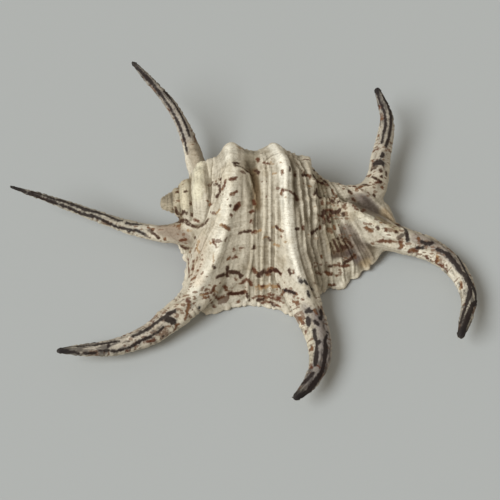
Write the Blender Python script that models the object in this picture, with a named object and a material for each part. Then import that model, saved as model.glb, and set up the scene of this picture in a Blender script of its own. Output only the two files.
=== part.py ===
"""Chiragra spider conch shell: one solid, resting on its opening side.

The spire points to -X, the siphonal canal to +X, the lip with its spines to -Y,
and the back of the shell is up. Sizes are in millimetres until the last step.
"""
import math

import bmesh
import bpy
import numpy as np

for item in list(bpy.data.objects):
    bpy.data.objects.remove(item, do_unlink=True)

METRE = 0.001

# Driving dimensions of the coil, millimetres: the spiral suture and the step at each turn of it
APEX_X = -34.3
CANAL_X = 51
LAST_SUTURE_FROM_APEX = 18.5
WHORL_GROWTH = 1.62
WHORL_STEP = 0.17
LIP_START_ANGLE = math.radians(35)
SHOULDER_PLACE = 0.4
SHOULDER_POWER = 0.756
BELLY_BULGE = 0.055

# Spines: their raised crest and side grooves as shares of the radius, and where those lie
SPINE_CREST = 0.13
SPINE_GROOVE = 0.1
CREST_WIDTH = 0.34
GROOVE_PLACE = 0.72
GROOVE_WIDTH = 0.24
SPINE_WIDE = 1.03
SPINE_THICK = 0.94

# Depth cut off below so that the shell rests flat, and the fineness of the skin
REST_CUT = 0.5
VOXEL_SIZE = 0.85
TRIANGLE_TARGET = 9800

# Body outline: distance along the shell, then the radius of the whorl there
BODY_PROFILE = [(-34.3, 0.8), (-30, 4.1), (-26, 7.8), (-22, 11.2), (-18, 13.8), (-15, 14.4),
                (-11, 15.4), (-6, 16.6), (-1, 16.8), (4, 16.6), (10, 16.9), (16, 16), (21, 13.4),
                (25, 9.8), (29, 6.6), (34, 4.8), (40, 4.4), (46, 4.2), (51, 3)]

# Centre line of the coiled body
BODY_AXIS = [(-34.3, 15.6, 21), (-26, 17, 20.8), (-15, 19, 20.4), (-4, 20.3, 20), (8, 20.8, 19.6),
             (18, 21.2, 18.6), (28, 22, 16.6), (38, 23.4, 14.2), (46, 25.4, 12.6), (51, 28, 12)]

# The wing: where it leaves the back, the lip edge, and the edge of the opening below
WING_INNER = [(-25.5, 15.5, 24.5), (-22, 15, 28), (-17, 14.5, 31.4), (-11, 14, 34), (-5, 13.6, 35.4),
              (2, 13.6, 35.4), (9, 14, 35.2), (15, 14.6, 33.6), (21, 15.6, 30), (27, 16.6, 25.6),
              (33, 17.8, 21.6), (39, 19.4, 18), (43.6, 22, 15.6), (46.6, 24, 14.4), (48, 25.6, 13.6)]
WING_LIP = [(-27.5, 9.5, 15), (-27, 3, 11.5), (-23.8, -4, 9), (-25, -14, 8),
            (-16, -22.6, 5), (-6, -19.6, 4.4), (2, -18.4, 4.2), (10, -20.2, 4.3), (19, -23.4, 4.8),
            (27.6, -13, 4.6), (35, -10.6, 4.3), (44.5, -3.8, 5.4), (54, 6.6, 9), (57, 14, 9.6), (54, 23.4, 10.6)]
WING_BELOW = [(-20, 10, 13), (-18, 8, 9), (-17, 6, 6), (-15, 2, 4), (-10, 0, 3),
              (-4, -1, 2.6), (2, -1.5, 2.4), (9, -1, 2.4), (15, 0, 2.6), (21, 2, 3),
              (27, 4, 3.4), (34, 8, 4), (41, 14, 5), (45, 18, 7), (47, 21, 8)]
LIP_THICKNESS = 2.6
LIP_HOLLOW = 1.4

# Slope of the wing where it leaves the back and where it meets the lip, as shares of its reach
LEAVE_OUT, LEAVE_FRONT, LEAVE_DOWN = 0.55, 0.5, 0.26
ARRIVE_OUT, ARRIVE_DOWN = 0.48, 0.57

# Spines: centre line and radius along it, numbered round the shell from the spire
SPINES = [
    [(-12, 26, 12, 6.0), (-17.4, 32, 10.5, 5), (-21.4, 40, 11.8, 4), (-23.2, 46.2, 14, 3.4),
     (-25.6, 52.2, 17, 2.9), (-28.9, 58, 20.5, 2.5), (-33.3, 63.6, 24, 2.2),
     (-39.8, 69.4, 28, 1.8), (-44.5, 73.6, 31.2, 1.4), (-47.4, 75.9, 33, 0.9)],
    [(-12, 9, 21, 6.0), (-18, 7.6, 17.6, 6.0), (-24, 6.8, 14.8, 5.2), (-29.6, 6.8, 13.4, 4.0),
     (-35.2, 7, 13, 3.3), (-44.4, 9.1, 13, 2.8), (-53.7, 11.9, 14, 2.5), (-66, 15.5, 16.5, 2.1),
     (-78.3, 18.8, 19.5, 1.6), (-87.3, 20.6, 22, 1.15), (-93, 21.9, 23.5, 0.75)],
    [(-7, 9, 25, 4.5), (-9.5, 3.5, 22.8, 5.8), (-12, -3, 18.8, 6.5), (-14.8, -9.5, 14.8, 6.8),
     (-18, -16.2, 12.2, 6.2), (-22.2, -21.7, 10.6, 5.4), (-26.8, -26.2, 9.6, 5),
     (-31.8, -30.2, 8.8, 4.8), (-37.4, -34.8, 8.2, 4.2), (-48.4, -39.9, 8.6, 3.3),
     (-57, -42.2, 10, 2.7), (-65.6, -43.6, 12, 1.9), (-71.4, -44.6, 13.4, 0.9)],
    [(14.4, 9, 27, 4.5), (14.8, 2.5, 23.8, 6.0), (15.6, -4.5, 18.8, 6.6), (17.2, -11.6, 14, 6.9),
     (19.4, -18.4, 11.2, 6.5), (21.8, -25.2, 9.4, 5.7), (24.7, -33.1, 8.4, 4.9),
     (26, -40.8, 8.4, 4.3), (25.4, -48.1, 9, 3.6), (22.5, -55.5, 10.5, 2.8),
     (18.5, -61.1, 12, 2.0), (15.9, -64.1, 13, 1.2)],
    [(30, 15, 17, 5.0), (38, 12.4, 14.8, 6.2), (46, 9.6, 12.8, 6.3), (52.4, 7.2, 11.8, 5.9),
     (58.8, 5.2, 10.8, 5.3), (67.7, 2.9, 9.5, 4.7), (74.9, -1.6, 8.8, 4.2), (79.8, -7.8, 8.6, 3.8),
     (82.6, -15.6, 9, 3.3), (82.5, -23.7, 10, 2.8), (79.7, -33, 12, 2.2), (77.6, -39, 13.4, 1.4)],
    [(40, 21.6, 13.6, 5.6), (46.4, 25.4, 12.4, 5.6), (49.6, 30.6, 12.2, 4.9), (51.2, 36.4, 12.7, 4.2),
     (52.2, 42.6, 13.3, 3.9), (53.7, 49, 14.2, 3.5), (55.1, 56, 15.4, 3.1), (55, 61.6, 16.6, 2.6),
     (53.6, 67, 17.8, 2.1), (51.4, 73, 19.7, 1.3)],
]

# Ridges round the back and down the wing: line, height and half width of each
RIDGES = [
    ([(-6.6, 38, 14), (-6.8, 37.2, 24), (-7, 34.2, 30.2), (-7, 28.6, 34.8), (-7, 21, 37),
      (-7, 13, 36), (-8.8, 5.5, 31.5), (-11, -0.9, 27), (-13.4, -8, 20.5), (-17, -14.6, 15),
      (-22, -20, 12)], 2.6, 3.8),
    ([(8, 38, 13), (8.3, 37.4, 23), (9, 34.6, 29.2), (10.6, 29.2, 34), (12.8, 22.5, 36.6),
      (13.9, 14.7, 36), (14.8, 6, 32), (15.2, -3, 26), (17, -12, 18), (20.2, -19.6, 14)], 2.6, 3.8),
    ([(19.6, 35.4, 15), (20.2, 33.6, 23), (21.4, 28.6, 28.8), (23.6, 20, 31), (25.6, 12, 28.6),
      (27.4, 0.5, 21), (30.2, -7.3, 12)], 1.7, 2.0),
    ([(31.6, 20, 22), (34.5, 14, 21), (38.5, 11.6, 19.5), (46, 9.8, 17), (54, 6.6, 16)], 1.4, 2.6),
    ([(19, 22, 33.6), (19.4, 14, 32.6), (20, 5, 27.6), (21.2, -3, 20.6), (24.4, -11, 12)], 1.0, 1.2),
    ([(22, 18, 32), (22.6, 9, 28.6), (23.6, 1, 22.6), (26, -6.6, 15)], 0.9, 1.0),
]

# Rounded knobs on the ridges: place, height and radius
KNOBS = [(-7.4, 33.6, 31.2, 1.9, 4.2), (-6.8, 17.5, 38, 2.0, 3.4), (-17.6, 29.6, 28.4, 1.7, 3.2),
         (-18.5, 14, 32.5, 1.4, 2.8), (9, 34, 30.4, 0.5, 4), (13.2, 20.5, 38, 1.9, 3.6),
         (20.8, 30.4, 27.4, 1.0, 2.4), (24.8, 16, 31, 1.3, 2.2), (39, 12.6, 20.4, 1.4, 2.6)]

# The opening under the shell: distance along the shell and width, its height, lean and turn
OPENING_LINE = [(-15, 4), (-8, 7), (2, 8.6), (12, 8.4), (22, 5.6), (31, 2)]
OPENING_HEIGHT = 22
OPENING_BOTTOM = -6
OPENING_MIDDLE_Y = 4
OPENING_LEAN = 0.35
OPENING_TURN = 0.1


def smooth_path(points, count):
    """Curve through all points: a cubic between neighbours, its slope there half the step across."""
    points = np.array(points, float)
    ends = np.vstack([2 * points[0] - points[1], points, 2 * points[-1] - points[-2]])
    place = np.linspace(0, len(points) - 1, count)
    cell = np.minimum(place.astype(int), len(points) - 2)
    t = (place - cell)[:, None]
    before, start, end, after = (ends[cell + step] for step in range(4))
    bend = 2 * before - 5 * start + 4 * end - after
    swing = 3 * start - before - 3 * end + after
    return 0.5 * (2 * start + (end - before) * t + bend * t * t + swing * t ** 3)


def grid_solid(name, grid):
    """Closed mesh of a grid of points: rows joined round, the first and last row filled."""
    rows, columns = grid.shape[:2]
    index = np.arange(rows * columns).reshape(rows, columns)
    beside = np.roll(index, -1, axis=1)
    quads = np.stack([index[:-1], beside[:-1], beside[1:], index[1:]], axis=-1).reshape(-1, 4)
    faces = [tuple(int(corner) for corner in quad) for quad in quads]
    faces.append(tuple(int(corner) for corner in index[0][::-1]))
    faces.append(tuple(int(corner) for corner in index[-1]))
    mesh = bpy.data.meshes.new(name)
    mesh.from_pydata(grid.reshape(-1, 3).tolist(), [], faces)
    shaped = bmesh.new()
    shaped.from_mesh(mesh)
    bmesh.ops.recalc_face_normals(shaped, faces=shaped.faces)
    shaped.to_mesh(mesh)
    shaped.free()
    solid = bpy.data.objects.new(name, mesh)
    bpy.context.collection.objects.link(solid)
    return solid


def coiled_body():
    """Spire and last whorl: a radius round the axis, stepped along the spiral suture.

    The whorl number is the logarithm of the distance from the apex less the turn angle;
    the radius dips where it is whole and rises to the shoulder in between.
    """
    x = APEX_X + (CANAL_X - APEX_X) * np.linspace(0, 1, 170)[:, None] ** 1.25
    angle = LIP_START_ANGLE - 2 * math.pi * np.linspace(1, 0, 96, endpoint=False)[None, :]
    outline = smooth_path(BODY_PROFILE, 600)
    radius = np.interp(x, outline[:, 0], outline[:, 1])
    distance = np.maximum(x - APEX_X, 0.3)
    whorl = np.log(distance / LAST_SUTURE_FROM_APEX) / math.log(WHORL_GROWTH) - angle / (2 * math.pi)
    within = np.where(whorl < 0, whorl - np.floor(whorl), np.minimum(whorl, SHOULDER_PLACE))
    shoulder = np.sin(math.pi * within ** SHOULDER_POWER)
    radius = radius * (1 - WHORL_STEP * (1 - shoulder))
    axis = smooth_path(BODY_AXIS, 600)
    centre_y = np.interp(x, axis[:, 0], axis[:, 1])
    centre_z = np.interp(x, axis[:, 0], axis[:, 2])
    belly = 1 + BELLY_BULGE * np.clip(-np.cos(angle), 0, 1) ** 2
    grid = np.stack([x + 0 * angle, centre_y - radius * np.sin(angle),
                     centre_z + radius * belly * np.cos(angle)], axis=-1)
    return grid_solid("coiled body", grid)


def wing():
    """Outer lip: from the back out to the lip edge and back below it to the opening.

    Each section is a cubic that leaves the back along the whorl and meets the lip flaring
    out, then a rounded edge, then a shallow hollow below.
    """
    sections = 90
    inner = smooth_path(WING_INNER, sections)
    lip = smooth_path(WING_LIP, sections)
    below = smooth_path(WING_BELOW, sections)
    reach = np.linalg.norm(lip - inner, axis=1)[:, None]
    outward = (lip - inner) * [1, 1, 0]
    outward = outward / np.linalg.norm(outward, axis=1)[:, None]
    leave = reach * (LEAVE_OUT * outward + [0, -LEAVE_FRONT, -LEAVE_DOWN])
    arrive = reach * (ARRIVE_OUT * outward + [0, 0, -ARRIVE_DOWN])
    t = np.linspace(0, 1, 30)[None, :, None]
    top = ((1 + 2 * t) * (1 - t) ** 2 * inner[:, None] + t * (1 - t) ** 2 * leave[:, None]
           + t * t * (3 - 2 * t) * lip[:, None] + t * t * (t - 1) * arrive[:, None])
    down = np.linspace(0, math.pi, 7)[1:-1][None, :, None]
    half = LIP_THICKNESS / 2
    drop = half * (1 - np.cos(down)) * np.array([0, 0, 1])
    edge = lip[:, None] + half * np.sin(down) * outward[:, None] - drop
    t = np.linspace(0, 1, 18)[None, :, None]
    hollow = LIP_HOLLOW * np.sin(math.pi * t) * np.array([0, 0, 1])
    bottom = (1 - t) * (lip - [0, 0, LIP_THICKNESS])[:, None] + t * below[:, None] + hollow
    return grid_solid("wing", np.concatenate([top, edge, bottom], axis=1))


def spine(points):
    """Tapering tube carried along its centre line, a little wider than it is thick.

    Its top has a raised crest between two shallow grooves.
    """
    path = smooth_path(points, 70)
    centre, radius = path[:, :3], path[:, 3]
    forward = np.gradient(centre, axis=0)
    forward = forward / np.linalg.norm(forward, axis=1)[:, None]
    side = np.cross(forward, [0, 0, 1])
    side = side / np.linalg.norm(side, axis=1)[:, None]
    upward = np.cross(side, forward)
    turn = np.linspace(0, 2 * math.pi, 48, endpoint=False)[None, :, None]
    from_top = np.abs(turn - math.pi / 2)
    crest = SPINE_CREST * np.exp(-(from_top / CREST_WIDTH) ** 2)
    groove = SPINE_GROOVE * np.exp(-((from_top - GROOVE_PLACE) / GROOVE_WIDTH) ** 2)
    reach = radius[:, None, None] * (1 + crest - groove)
    across = SPINE_WIDE * np.cos(turn) * side[:, None]
    above = SPINE_THICK * np.sin(turn) * upward[:, None]
    return grid_solid("spine", centre[:, None] + reach * (across + above))


def opening_cutter():
    """Curved slot: a lens-shaped section drawn up into the body and bent along with it."""
    line = smooth_path(OPENING_LINE, 40)
    x, width = line[:, 0][:, None], line[:, 1][:, None]
    turn = np.linspace(0, 2 * math.pi, 28, endpoint=False)[None, :]
    rise = OPENING_BOTTOM + OPENING_HEIGHT * 0.5 * (1 + np.sin(turn))
    middle = OPENING_MIDDLE_Y - OPENING_LEAN * rise + OPENING_TURN * x
    grid = np.stack([x + 0 * turn, middle + 0.5 * width * np.cos(turn), rise + 0 * x], axis=-1)
    return grid_solid("opening", grid)


def apply_modifier(solid, kind, **values):
    """Adds one modifier, sets it and bakes it into the mesh."""
    modifier = solid.modifiers.new(kind, kind)
    for key, value in values.items():
        setattr(modifier, key, value)
    bpy.context.view_layer.objects.active = solid
    bpy.ops.object.modifier_apply(modifier=modifier.name)


def nearest(points, path):
    """Distance from each point to a line of points, and the share of its length there."""
    start, step = path[:-1], np.diff(path, axis=0)
    best = np.full(len(points), 1e9)
    share = np.zeros(len(points))
    for number in range(len(start)):
        offset = points - start[number]
        along = np.clip(offset @ step[number] / (step[number] @ step[number]), 0, 1)
        gap = np.linalg.norm(offset - along[:, None] * step[number], axis=1)
        closer = gap < best
        best[closer] = gap[closer]
        share[closer] = (number + along[closer]) / len(start)
    return best, share


def raise_relief(solid):
    """Moves the skin out along its normals: rounded ridges along their lines, then knobs."""
    mesh = solid.data
    count = len(mesh.vertices)
    points = np.empty(count * 3)
    mesh.vertices.foreach_get("co", points)
    points = points.reshape(-1, 3)
    normals = np.empty(count * 3)
    mesh.vertices.foreach_get("normal", normals)
    normals = normals.reshape(-1, 3)
    lift = np.zeros(count)
    for line, height, width in RIDGES:
        gap, share = nearest(points, smooth_path(line, 26))
        fade = np.clip(6 * share + 0.35, 0, 1) * np.clip(4 * (1 - share), 0, 1)
        lift = lift + height * fade * np.exp(-(gap / width) ** 2)
    for x, y, z, height, width in KNOBS:
        gap = np.linalg.norm(points - [x, y, z], axis=1)
        lift = lift + height * np.exp(-(gap / width) ** 2)
    points = points + normals * lift[:, None]
    mesh.vertices.foreach_set("co", points.ravel())
    mesh.update()


pieces = [coiled_body(), wing()] + [spine(points) for points in SPINES]
bpy.ops.object.select_all(action="DESELECT")
for piece in pieces:
    piece.select_set(True)
shell = pieces[0]
bpy.context.view_layer.objects.active = shell
bpy.ops.object.join()
apply_modifier(shell, "REMESH", mode="VOXEL", voxel_size=VOXEL_SIZE, adaptivity=0)
cutter = opening_cutter()
apply_modifier(shell, "BOOLEAN", operation="DIFFERENCE", solver="EXACT", object=cutter)
bpy.data.objects.remove(cutter, do_unlink=True)
apply_modifier(shell, "REMESH", mode="VOXEL", voxel_size=VOXEL_SIZE, adaptivity=0)
apply_modifier(shell, "SMOOTH", factor=0.5, iterations=6)
raise_relief(shell)
apply_modifier(shell, "SMOOTH", factor=0.5, iterations=1)
apply_modifier(shell, "TRIANGULATE")
apply_modifier(shell, "DECIMATE", ratio=TRIANGLE_TARGET / len(shell.data.polygons))

# Flat resting spots: everything below the floor plane is cut away
skin = bmesh.new()
skin.from_mesh(shell.data)
floor = min(vertex.co.z for vertex in skin.verts) + REST_CUT
cut = bmesh.ops.bisect_plane(skin, geom=skin.verts[:] + skin.edges[:] + skin.faces[:], dist=1e-4,
                             plane_co=(0, 0, floor), plane_no=(0, 0, 1), clear_inner=True)
rim = [part for part in cut["geom_cut"] if isinstance(part, bmesh.types.BMEdge)]
bmesh.ops.holes_fill(skin, edges=rim)
bmesh.ops.triangulate(skin, faces=skin.faces[:])
bmesh.ops.recalc_face_normals(skin, faces=skin.faces[:])
corners = np.array([vertex.co[:] for vertex in skin.verts])
low, high = corners.min(axis=0), corners.max(axis=0)
middle = [(low[0] + high[0]) / 2, (low[1] + high[1]) / 2, floor]
bmesh.ops.translate(skin, verts=skin.verts[:], vec=[-value for value in middle])
bmesh.ops.scale(skin, verts=skin.verts[:], vec=(METRE, METRE, METRE))
skin.to_mesh(shell.data)
skin.free()

shell.name = "shell"
shell.data.name = "shell"
material = bpy.data.materials.new("shell")
material.use_nodes = True
surface = material.node_tree.nodes["Principled BSDF"]
surface.inputs["Base Color"].default_value = (0.62, 0.56, 0.45, 1)
surface.inputs["Roughness"].default_value = 0.5
shell.data.materials.clear()
shell.data.materials.append(material)
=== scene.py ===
"""Chiragra spider conch shell, lying on its opening side under soft studio light.

Shapes are worked out in millimetres in the coil's own frame, as the solid is,
and moved into the shared frame in metres at the end.
"""

import math

import bpy
import numpy as np
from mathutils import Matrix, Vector


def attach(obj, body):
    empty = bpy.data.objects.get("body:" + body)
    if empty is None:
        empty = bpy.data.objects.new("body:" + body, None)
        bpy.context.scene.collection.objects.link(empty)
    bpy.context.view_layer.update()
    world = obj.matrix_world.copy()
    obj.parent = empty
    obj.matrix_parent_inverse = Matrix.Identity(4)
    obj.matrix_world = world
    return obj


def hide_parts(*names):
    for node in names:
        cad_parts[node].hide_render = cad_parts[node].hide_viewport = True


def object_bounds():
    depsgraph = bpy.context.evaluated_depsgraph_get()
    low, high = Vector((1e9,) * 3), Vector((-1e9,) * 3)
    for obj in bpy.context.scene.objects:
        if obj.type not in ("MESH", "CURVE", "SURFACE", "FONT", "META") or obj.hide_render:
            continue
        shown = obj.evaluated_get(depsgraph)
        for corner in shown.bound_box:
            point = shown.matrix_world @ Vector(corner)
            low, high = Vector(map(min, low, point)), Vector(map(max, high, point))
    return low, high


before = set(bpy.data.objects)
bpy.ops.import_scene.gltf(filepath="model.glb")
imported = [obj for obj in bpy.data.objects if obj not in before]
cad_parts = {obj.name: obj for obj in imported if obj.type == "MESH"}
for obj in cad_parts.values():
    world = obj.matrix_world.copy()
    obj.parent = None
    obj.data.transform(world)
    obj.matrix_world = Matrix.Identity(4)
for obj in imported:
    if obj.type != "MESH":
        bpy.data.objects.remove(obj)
cad_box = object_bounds()

# ---- The coil: spire and last whorl ----
# The oldest part of the shell, laid down as a tube winding to the right round an axis.
# Each turn covers the one before up to the suture, where the outline steps in.
METRE = 0.001
APEX_X = -34.3
CANAL_X = 51
LAST_SUTURE_FROM_APEX = 18.5
WHORL_GROWTH = 1.62
WHORL_STEP = 0.17
LIP_START_ANGLE = math.radians(35)
SHOULDER_PLACE = 0.4
SHOULDER_POWER = 0.756
BELLY_BULGE = 0.055
NEAREST_TO_APEX = 0.3
COIL_ROWS, COIL_COLUMNS = 260, 180
ROWS_TO_APEX = 1.25
BODY_PROFILE = [(-34.3, 2.2), (-30, 4.4), (-26, 7.8), (-22, 11.2), (-18, 13.8), (-15, 14.4),
                (-11, 15.4), (-6, 16.6), (-1, 16.8), (4, 16.6), (10, 16.9), (16, 16), (21, 13.4),
                (25, 9.8), (29, 6.6), (34, 4.8), (40, 4.4), (46, 4.2), (51, 3)]
BODY_AXIS = [(-34.3, 15.6, 21), (-26, 17, 20.8), (-15, 19, 20.4), (-4, 20.3, 20), (8, 20.8, 19.6),
             (18, 21.2, 18.6), (28, 22, 16.6), (38, 23.4, 14.2), (46, 25.4, 12.6), (51, 28, 12)]


def smooth_path(points, count):
    """Curve through all points: a cubic between neighbours, its slope there half the step across."""
    points = np.array(points, float)
    ends = np.vstack([2 * points[0] - points[1], points, 2 * points[-1] - points[-2]])
    place = np.linspace(0, len(points) - 1, count)
    cell = np.minimum(place.astype(int), len(points) - 2)
    t = (place - cell)[:, None]
    before, start, end, after = (ends[cell + step] for step in range(4))
    bend = 2 * before - 5 * start + 4 * end - after
    swing = 3 * start - before - 3 * end + after
    return 0.5 * (2 * start + (end - before) * t + bend * t * t + swing * t ** 3)


def grid_solid(name, grid):
    """Closed mesh of a grid of points: rows joined round, the first and last row filled."""
    rows, columns = grid.shape[:2]
    index = np.arange(rows * columns).reshape(rows, columns)
    beside = np.roll(index, -1, axis=1)
    quads = np.stack([index[:-1], beside[:-1], beside[1:], index[1:]], axis=-1).reshape(-1, 4)
    mesh = bpy.data.meshes.new(name)
    faces = quads.tolist() + [index[0][::-1].tolist(), index[-1].tolist()]
    mesh.from_pydata(grid.reshape(-1, 3).tolist(), [], faces)
    solid = bpy.data.objects.new(name, mesh)
    bpy.context.collection.objects.link(solid)
    return solid


OUTLINE = smooth_path(BODY_PROFILE, 600)
AXIS = smooth_path(BODY_AXIS, 600)


def axis_at(x):
    """Height and depth of the coil's axis at a distance along the shell."""
    return np.interp(x, AXIS[:, 0], AXIS[:, 1]), np.interp(x, AXIS[:, 0], AXIS[:, 2])


def whorl_number(x, angle):
    """Logarithm of the distance from the apex less the turn angle: whole along the suture."""
    distance = np.maximum(x - APEX_X, NEAREST_TO_APEX)
    return np.log(distance / LAST_SUTURE_FROM_APEX) / math.log(WHORL_GROWTH) - angle / (2 * math.pi)


def coiled_body():
    """Radius round the axis, less a step that is deepest at the suture and gone at the shoulder."""
    x = APEX_X + (CANAL_X - APEX_X) * np.linspace(0, 1, COIL_ROWS)[:, None] ** ROWS_TO_APEX
    angle = LIP_START_ANGLE - 2 * math.pi * np.linspace(1, 0, COIL_COLUMNS, endpoint=False)[None, :]
    radius = np.interp(x, OUTLINE[:, 0], OUTLINE[:, 1])
    whorl = whorl_number(x, angle)
    within = np.where(whorl < 0, whorl - np.floor(whorl), np.minimum(whorl, SHOULDER_PLACE))
    shoulder = np.sin(math.pi * within ** SHOULDER_POWER)
    radius = radius * (1 - WHORL_STEP * (1 - shoulder))
    centre_y, centre_z = axis_at(x)
    belly = 1 + BELLY_BULGE * np.clip(-np.cos(angle), 0, 1) ** 2
    grid = np.stack([x + 0 * angle, centre_y - radius * np.sin(angle),
                     centre_z + radius * belly * np.cos(angle)], axis=-1)
    return grid_solid("coiled body", grid)


# ---- The wing: the thick outer lip of a grown shell ----
# It flares from the back of the last whorl down to the lip, turns round the lip's edge and
# closes below as a broad shelf with a slight hollow.
WING_INNER = [(-25.5, 15.5, 24.5), (-22, 15, 28), (-17, 14.5, 31.4), (-11, 14, 34), (-5, 13.6, 35.4),
              (2, 13.6, 35.4), (9, 14, 35.2), (15, 14.6, 33.6), (21, 15.6, 30), (27, 16.6, 25.6),
              (33, 17.8, 21.6), (39, 19.4, 18), (43.6, 22, 15.6), (46.6, 24, 14.4), (48, 25.6, 13.6)]
WING_LIP = [(-27.5, 9.5, 15), (-27, 3, 11.5), (-23.8, -4, 9), (-25, -14, 8),
            (-16, -22.6, 5), (-6, -19.6, 4.4), (2, -18.4, 4.2), (10, -20.2, 4.3), (19, -23.4, 4.8),
            (27.6, -13, 4.6), (35, -10.6, 4.3), (44.5, -3.8, 5.4), (54, 6.6, 9), (57, 14, 9.6),
            (54, 23.4, 10.6)]
WING_BELOW = [(-20, 10, 13), (-18, 8, 9), (-17, 6, 6), (-15, 2, 4), (-10, 0, 3),
              (-4, -1, 2.6), (2, -1.5, 2.4), (9, -1, 2.4), (15, 0, 2.6), (21, 2, 3),
              (27, 4, 3.4), (34, 8, 4), (41, 14, 5), (45, 18, 7), (47, 21, 8)]
LIP_THICKNESS = 2.6
LIP_HOLLOW = 1.4
LEAVE_OUT, LEAVE_FRONT, LEAVE_DOWN = 0.55, 0.5, 0.26
ARRIVE_OUT, ARRIVE_DOWN = 0.48, 0.57
WING_SECTIONS, TOP_STEPS, EDGE_STEPS, FLOOR_STEPS = 200, 60, 9, 30


def wing():
    """Sections as closed loops: a cubic down to the lip, a half-round edge, a hollow floor below."""
    inner, lip, below = (smooth_path(line, WING_SECTIONS)
                         for line in (WING_INNER, WING_LIP, WING_BELOW))
    reach = np.linalg.norm(lip - inner, axis=1)[:, None]
    outward = (lip - inner) * [1, 1, 0]
    outward = outward / np.linalg.norm(outward, axis=1)[:, None]
    leave = reach * (LEAVE_OUT * outward + [0, -LEAVE_FRONT, -LEAVE_DOWN])
    arrive = reach * (ARRIVE_OUT * outward + [0, 0, -ARRIVE_DOWN])
    t = np.linspace(0, 1, TOP_STEPS)[None, :, None]
    top = ((1 + 2 * t) * (1 - t) ** 2 * inner[:, None] + t * (1 - t) ** 2 * leave[:, None]
           + t * t * (3 - 2 * t) * lip[:, None] + t * t * (t - 1) * arrive[:, None])
    down = np.linspace(0, math.pi, EDGE_STEPS)[1:-1][None, :, None]
    half = LIP_THICKNESS / 2
    drop = half * (1 - np.cos(down)) * np.array([0, 0, 1])
    edge = lip[:, None] + half * np.sin(down) * outward[:, None] - drop
    t = np.linspace(0, 1, FLOOR_STEPS)[None, :, None]
    hollow = LIP_HOLLOW * np.sin(math.pi * t) * np.array([0, 0, 1])
    bottom = (1 - t) * (lip - [0, 0, LIP_THICKNESS])[:, None] + t * below[:, None] + hollow
    return grid_solid("wing", np.concatenate([top, edge, bottom], axis=1))


# ---- The six spines ----
# Hollow fingers of the lip that closed into horns as it grew, with a crest between two grooves.
# They are numbered round the shell from the spire; each list is centre line and radius.
SPINES = [
    [(-12, 26, 12, 6.0), (-17.4, 32, 10.5, 5), (-21.4, 40, 11.8, 4), (-23.2, 46.2, 14, 3.4),
     (-25.6, 52.2, 17, 2.9), (-28.9, 58, 20.5, 2.5), (-33.3, 63.6, 24, 2.2),
     (-39.8, 69.4, 28, 1.8), (-44.5, 73.6, 31.2, 1.4), (-47.4, 75.9, 33, 0.9)],
    [(-12, 9, 21, 6.0), (-18, 7.6, 17.6, 6.0), (-24, 6.8, 14.8, 5.2), (-29.6, 6.8, 13.4, 4.0),
     (-35.2, 7, 13, 3.3), (-44.4, 9.1, 13, 2.8), (-53.7, 11.9, 14, 2.5), (-66, 15.5, 16.5, 2.1),
     (-78.3, 18.8, 19.5, 1.6), (-87.3, 20.6, 22, 1.15), (-93, 21.9, 23.5, 0.75)],
    [(-7, 9, 25, 4.5), (-9.5, 3.5, 22.8, 5.8), (-12, -3, 18.8, 6.5), (-14.8, -9.5, 14.8, 6.8),
     (-18, -16.2, 12.2, 6.2), (-22.2, -21.7, 10.6, 5.4), (-26.8, -26.2, 9.6, 5),
     (-31.8, -30.2, 8.8, 4.8), (-37.4, -34.8, 8.2, 4.2), (-48.4, -39.9, 8.6, 3.3),
     (-57, -42.2, 10, 2.7), (-65.6, -43.6, 12, 1.9), (-71.4, -44.6, 13.4, 0.9)],
    [(14.4, 9, 27, 4.5), (14.8, 2.5, 23.8, 6.0), (15.6, -4.5, 18.8, 6.6), (17.2, -11.6, 14, 6.9),
     (19.4, -18.4, 11.2, 6.5), (21.8, -25.2, 9.4, 5.7), (24.7, -33.1, 8.4, 4.9),
     (26, -40.8, 8.4, 4.3), (25.4, -48.1, 9, 3.6), (22.5, -55.5, 10.5, 2.8),
     (18.5, -61.1, 12, 2.0), (15.9, -64.1, 13, 1.2)],
    [(30, 15, 17, 5.0), (38, 12.4, 14.8, 6.2), (46, 9.6, 12.8, 6.3), (52.4, 7.2, 11.8, 5.9),
     (58.8, 5.2, 10.8, 5.3), (67.7, 2.9, 9.5, 4.7), (74.9, -1.6, 8.8, 4.2), (79.8, -7.8, 8.6, 3.8),
     (82.6, -15.6, 9, 3.3), (82.5, -23.7, 10, 2.8), (79.7, -33, 12, 2.2), (77.6, -39, 13.4, 1.4)],
    [(40, 21.6, 13.6, 5.6), (46.4, 25.4, 12.4, 5.6), (49.6, 30.6, 12.2, 4.9), (51.2, 36.4, 12.7, 4.2),
     (52.2, 42.6, 13.3, 3.9), (53.7, 49, 14.2, 3.5), (55.1, 56, 15.4, 3.1), (55, 61.6, 16.6, 2.6),
     (53.6, 67, 17.8, 2.1), (51.4, 73, 19.7, 1.3)],
]
SPINE_CREST = 0.13
SPINE_GROOVE = 0.1
CREST_WIDTH = 0.34
GROOVE_PLACE = 0.72
GROOVE_WIDTH = 0.24
SPINE_WIDE = 1.03
SPINE_THICK = 0.94
SPINE_STEPS, SPINE_AROUND = 140, 64


def spine_frame(points, count):
    """Centre line, radius, and the directions along, across and up at each step of a spine."""
    path = smooth_path(points, count)
    centre, radius = path[:, :3], path[:, 3]
    forward = np.gradient(centre, axis=0)
    forward = forward / np.linalg.norm(forward, axis=1)[:, None]
    side = np.cross(forward, [0, 0, 1])
    side = side / np.linalg.norm(side, axis=1)[:, None]
    return centre, radius, side, np.cross(side, forward)


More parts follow.
